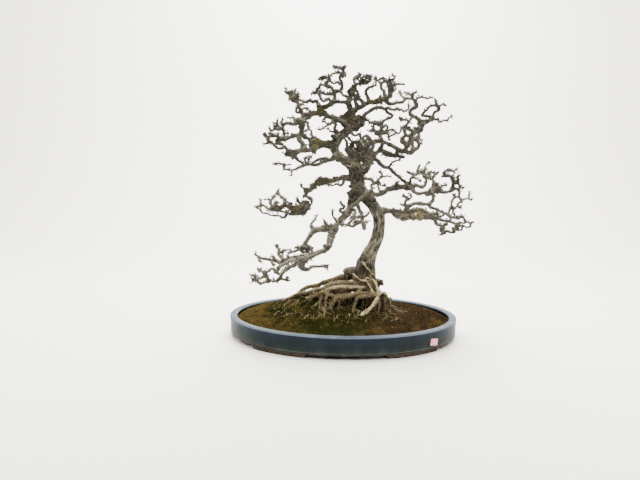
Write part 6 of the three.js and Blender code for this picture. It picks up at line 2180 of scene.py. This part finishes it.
@dataclass
class Studio:
    """Pale floor that sweeps up behind, soft lights and the camera.

    Attributes:
        middle: Middle of the pot along X, in metres.
    """

    middle: float

    def build(self) -> None:
        """Set all of it up."""
        self.floor()
        tree = (self.middle, 0.0, 0.35)
        self.light("key", (0.35, -0.9, 2.5), tree, 1.2, 84.0)
        self.light("fill", (-1.6, -1.5, 1.3), tree, 2.0, 10.0)
        self.light("wash", (0.0, 0.6, 3.0), tree, 2.4, 66.0)
        self.light("backdrop", (0.0, 0.7, 2.6), (0.0, 1.9, 0.6), 1.6, 240.0)
        world = bpy.data.worlds.new("soft room")
        world.use_nodes = True
        world.node_tree.nodes["Background"].inputs["Color"].default_value = paint(*Backdrop.SKY.value)
        world.node_tree.nodes["Background"].inputs["Strength"].default_value = 0.75
        bpy.context.scene.world = world
        self.camera()

    def floor(self) -> None:
        """Lay a plain pale floor and sweep it up into a wall behind."""
        deselect()
        bpy.ops.mesh.primitive_plane_add(size=1.0, location=(0, 0, 0))
        floor = bpy.context.object
        floor.name = "floor"
        floor.scale = (9.0, 4.0, 1.0)
        floor.location = (0, -0.8, 0)
        bpy.ops.object.transform_apply(location=True, rotation=False, scale=True)
        bpy.ops.object.mode_set(mode="EDIT")
        mesh = bmesh.from_edit_mesh(floor.data)
        for edge in mesh.edges:
            edge.select_set(all(corner.co.y > 1.0 for corner in edge.verts))
        bmesh.update_edit_mesh(floor.data)
        steps, bend = 16, 1.2
        for step in range(steps):
            turn = math.radians(90 * (step + 0.5) / steps)
            stride = bend * math.radians(90 / steps)
            bpy.ops.mesh.extrude_region_move()
            bpy.ops.transform.translate(value=(0, stride * math.cos(turn), stride * math.sin(turn)))
        bpy.ops.mesh.extrude_region_move()
        bpy.ops.transform.translate(value=(0, 0, 3.5))
        bpy.ops.object.mode_set(mode="OBJECT")
        bpy.ops.object.shade_smooth()
        pale = Plain("pale floor", Backdrop.FLOOR.value, Backdrop.FLOOR.value, 4.0, 0.9)
        floor.data.materials.append(pale.make())
        floor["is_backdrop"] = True

    @staticmethod
    def light(name: str, spot: Sequence[float], aim: Sequence[float], size: float, power: float) -> None:
        """Hang one soft light.

        Args:
            name: What it is called.
            spot: Where it hangs, in metres.
            aim: What it points at.
            size: How wide it is.
            power: How strong it is, in watts.
        """
        lamp = bpy.data.lights.new(name, "AREA")
        lamp.size = size
        lamp.energy = power
        holder = bpy.data.objects.new(name, lamp)
        holder.location = spot
        holder.rotation_euler = (Vector(aim) - Vector(spot)).to_track_quat("-Z", "Y").to_euler()
        bpy.context.scene.collection.objects.link(holder)

    def camera(self) -> None:
        """Stand the camera where the tree is seen from."""
        pitch, yaw, roll = (math.radians(angle) for angle in (EYE_PITCH, EYE_YAW, EYE_ROLL))
        forward = Vector((math.sin(yaw) * math.cos(pitch), math.cos(yaw) * math.cos(pitch), -math.sin(pitch)))
        right = Vector((math.cos(yaw), -math.sin(yaw), 0.0))
        down = forward.cross(right)
        across = right * math.cos(roll) + down * math.sin(roll)
        low = down * math.cos(roll) - right * math.sin(roll)
        lens = bpy.data.cameras.new("front")
        lens.lens = FOCAL_MM
        lens.sensor_width = 36.0
        eye = bpy.data.objects.new("front", lens)
        turn = Matrix((across, -low, -forward)).transposed().to_4x4()
        eye.matrix_world = Matrix.Translation(Vector((EYE + LIFT) * MM) + Vector((self.middle, 0, 0))) @ turn
        bpy.context.scene.collection.objects.link(eye)
        bpy.context.scene.camera = eye


def main() -> None:
    """Build every part of the bonsai and its studio."""
    logging.basicConfig(level=logging.INFO, format="%(name)s: %(message)s")
    low, high = (np.array(corner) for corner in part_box("pot"))
    middle = float(low[0] + high[0]) / 2
    bark = Bark().make()
    skeleton = Skeleton(middle / MM)
    Tree(skeleton).build(bark)
    soil_low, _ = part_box("soil")
    mound = Mound(middle / MM, length=655.4, depth=475.4, bottom=float(soil_low[2]) / MM)
    mound.build(Earth().make(middle))
    Rootlets(mound, skeleton.roots).build(bark)
    Grass(mound).build(Plain("pale blades", (46, 50, 20), (112, 114, 68), 300.0, 0.6).make())
    length, depth, rim = float(high[0] - low[0]), float(high[1] - low[1]), float(high[2])
    Pot(middle, length, depth, rim).build(Glaze().make(rim))
    plastic = Plain("dark plastic", (18, 19, 20), (34, 35, 37), 900.0, 0.6).make()
    for node in ("drain_screen_left", "drain_screen_right"):
        Screen(node).build(plastic)
    label = bpy.data.objects["label"]
    label.data.materials.clear()
    pink = Plain("plain pink label", (178, 98, 116), (214, 168, 172), 150.0, 0.7)
    label.data.materials.append(pink.make())
    Studio(middle).build()
    [[list(map(float, corner)) for corner in box] for box in (CAD_BOX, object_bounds())]


if __name__ == "__main__":
    main()
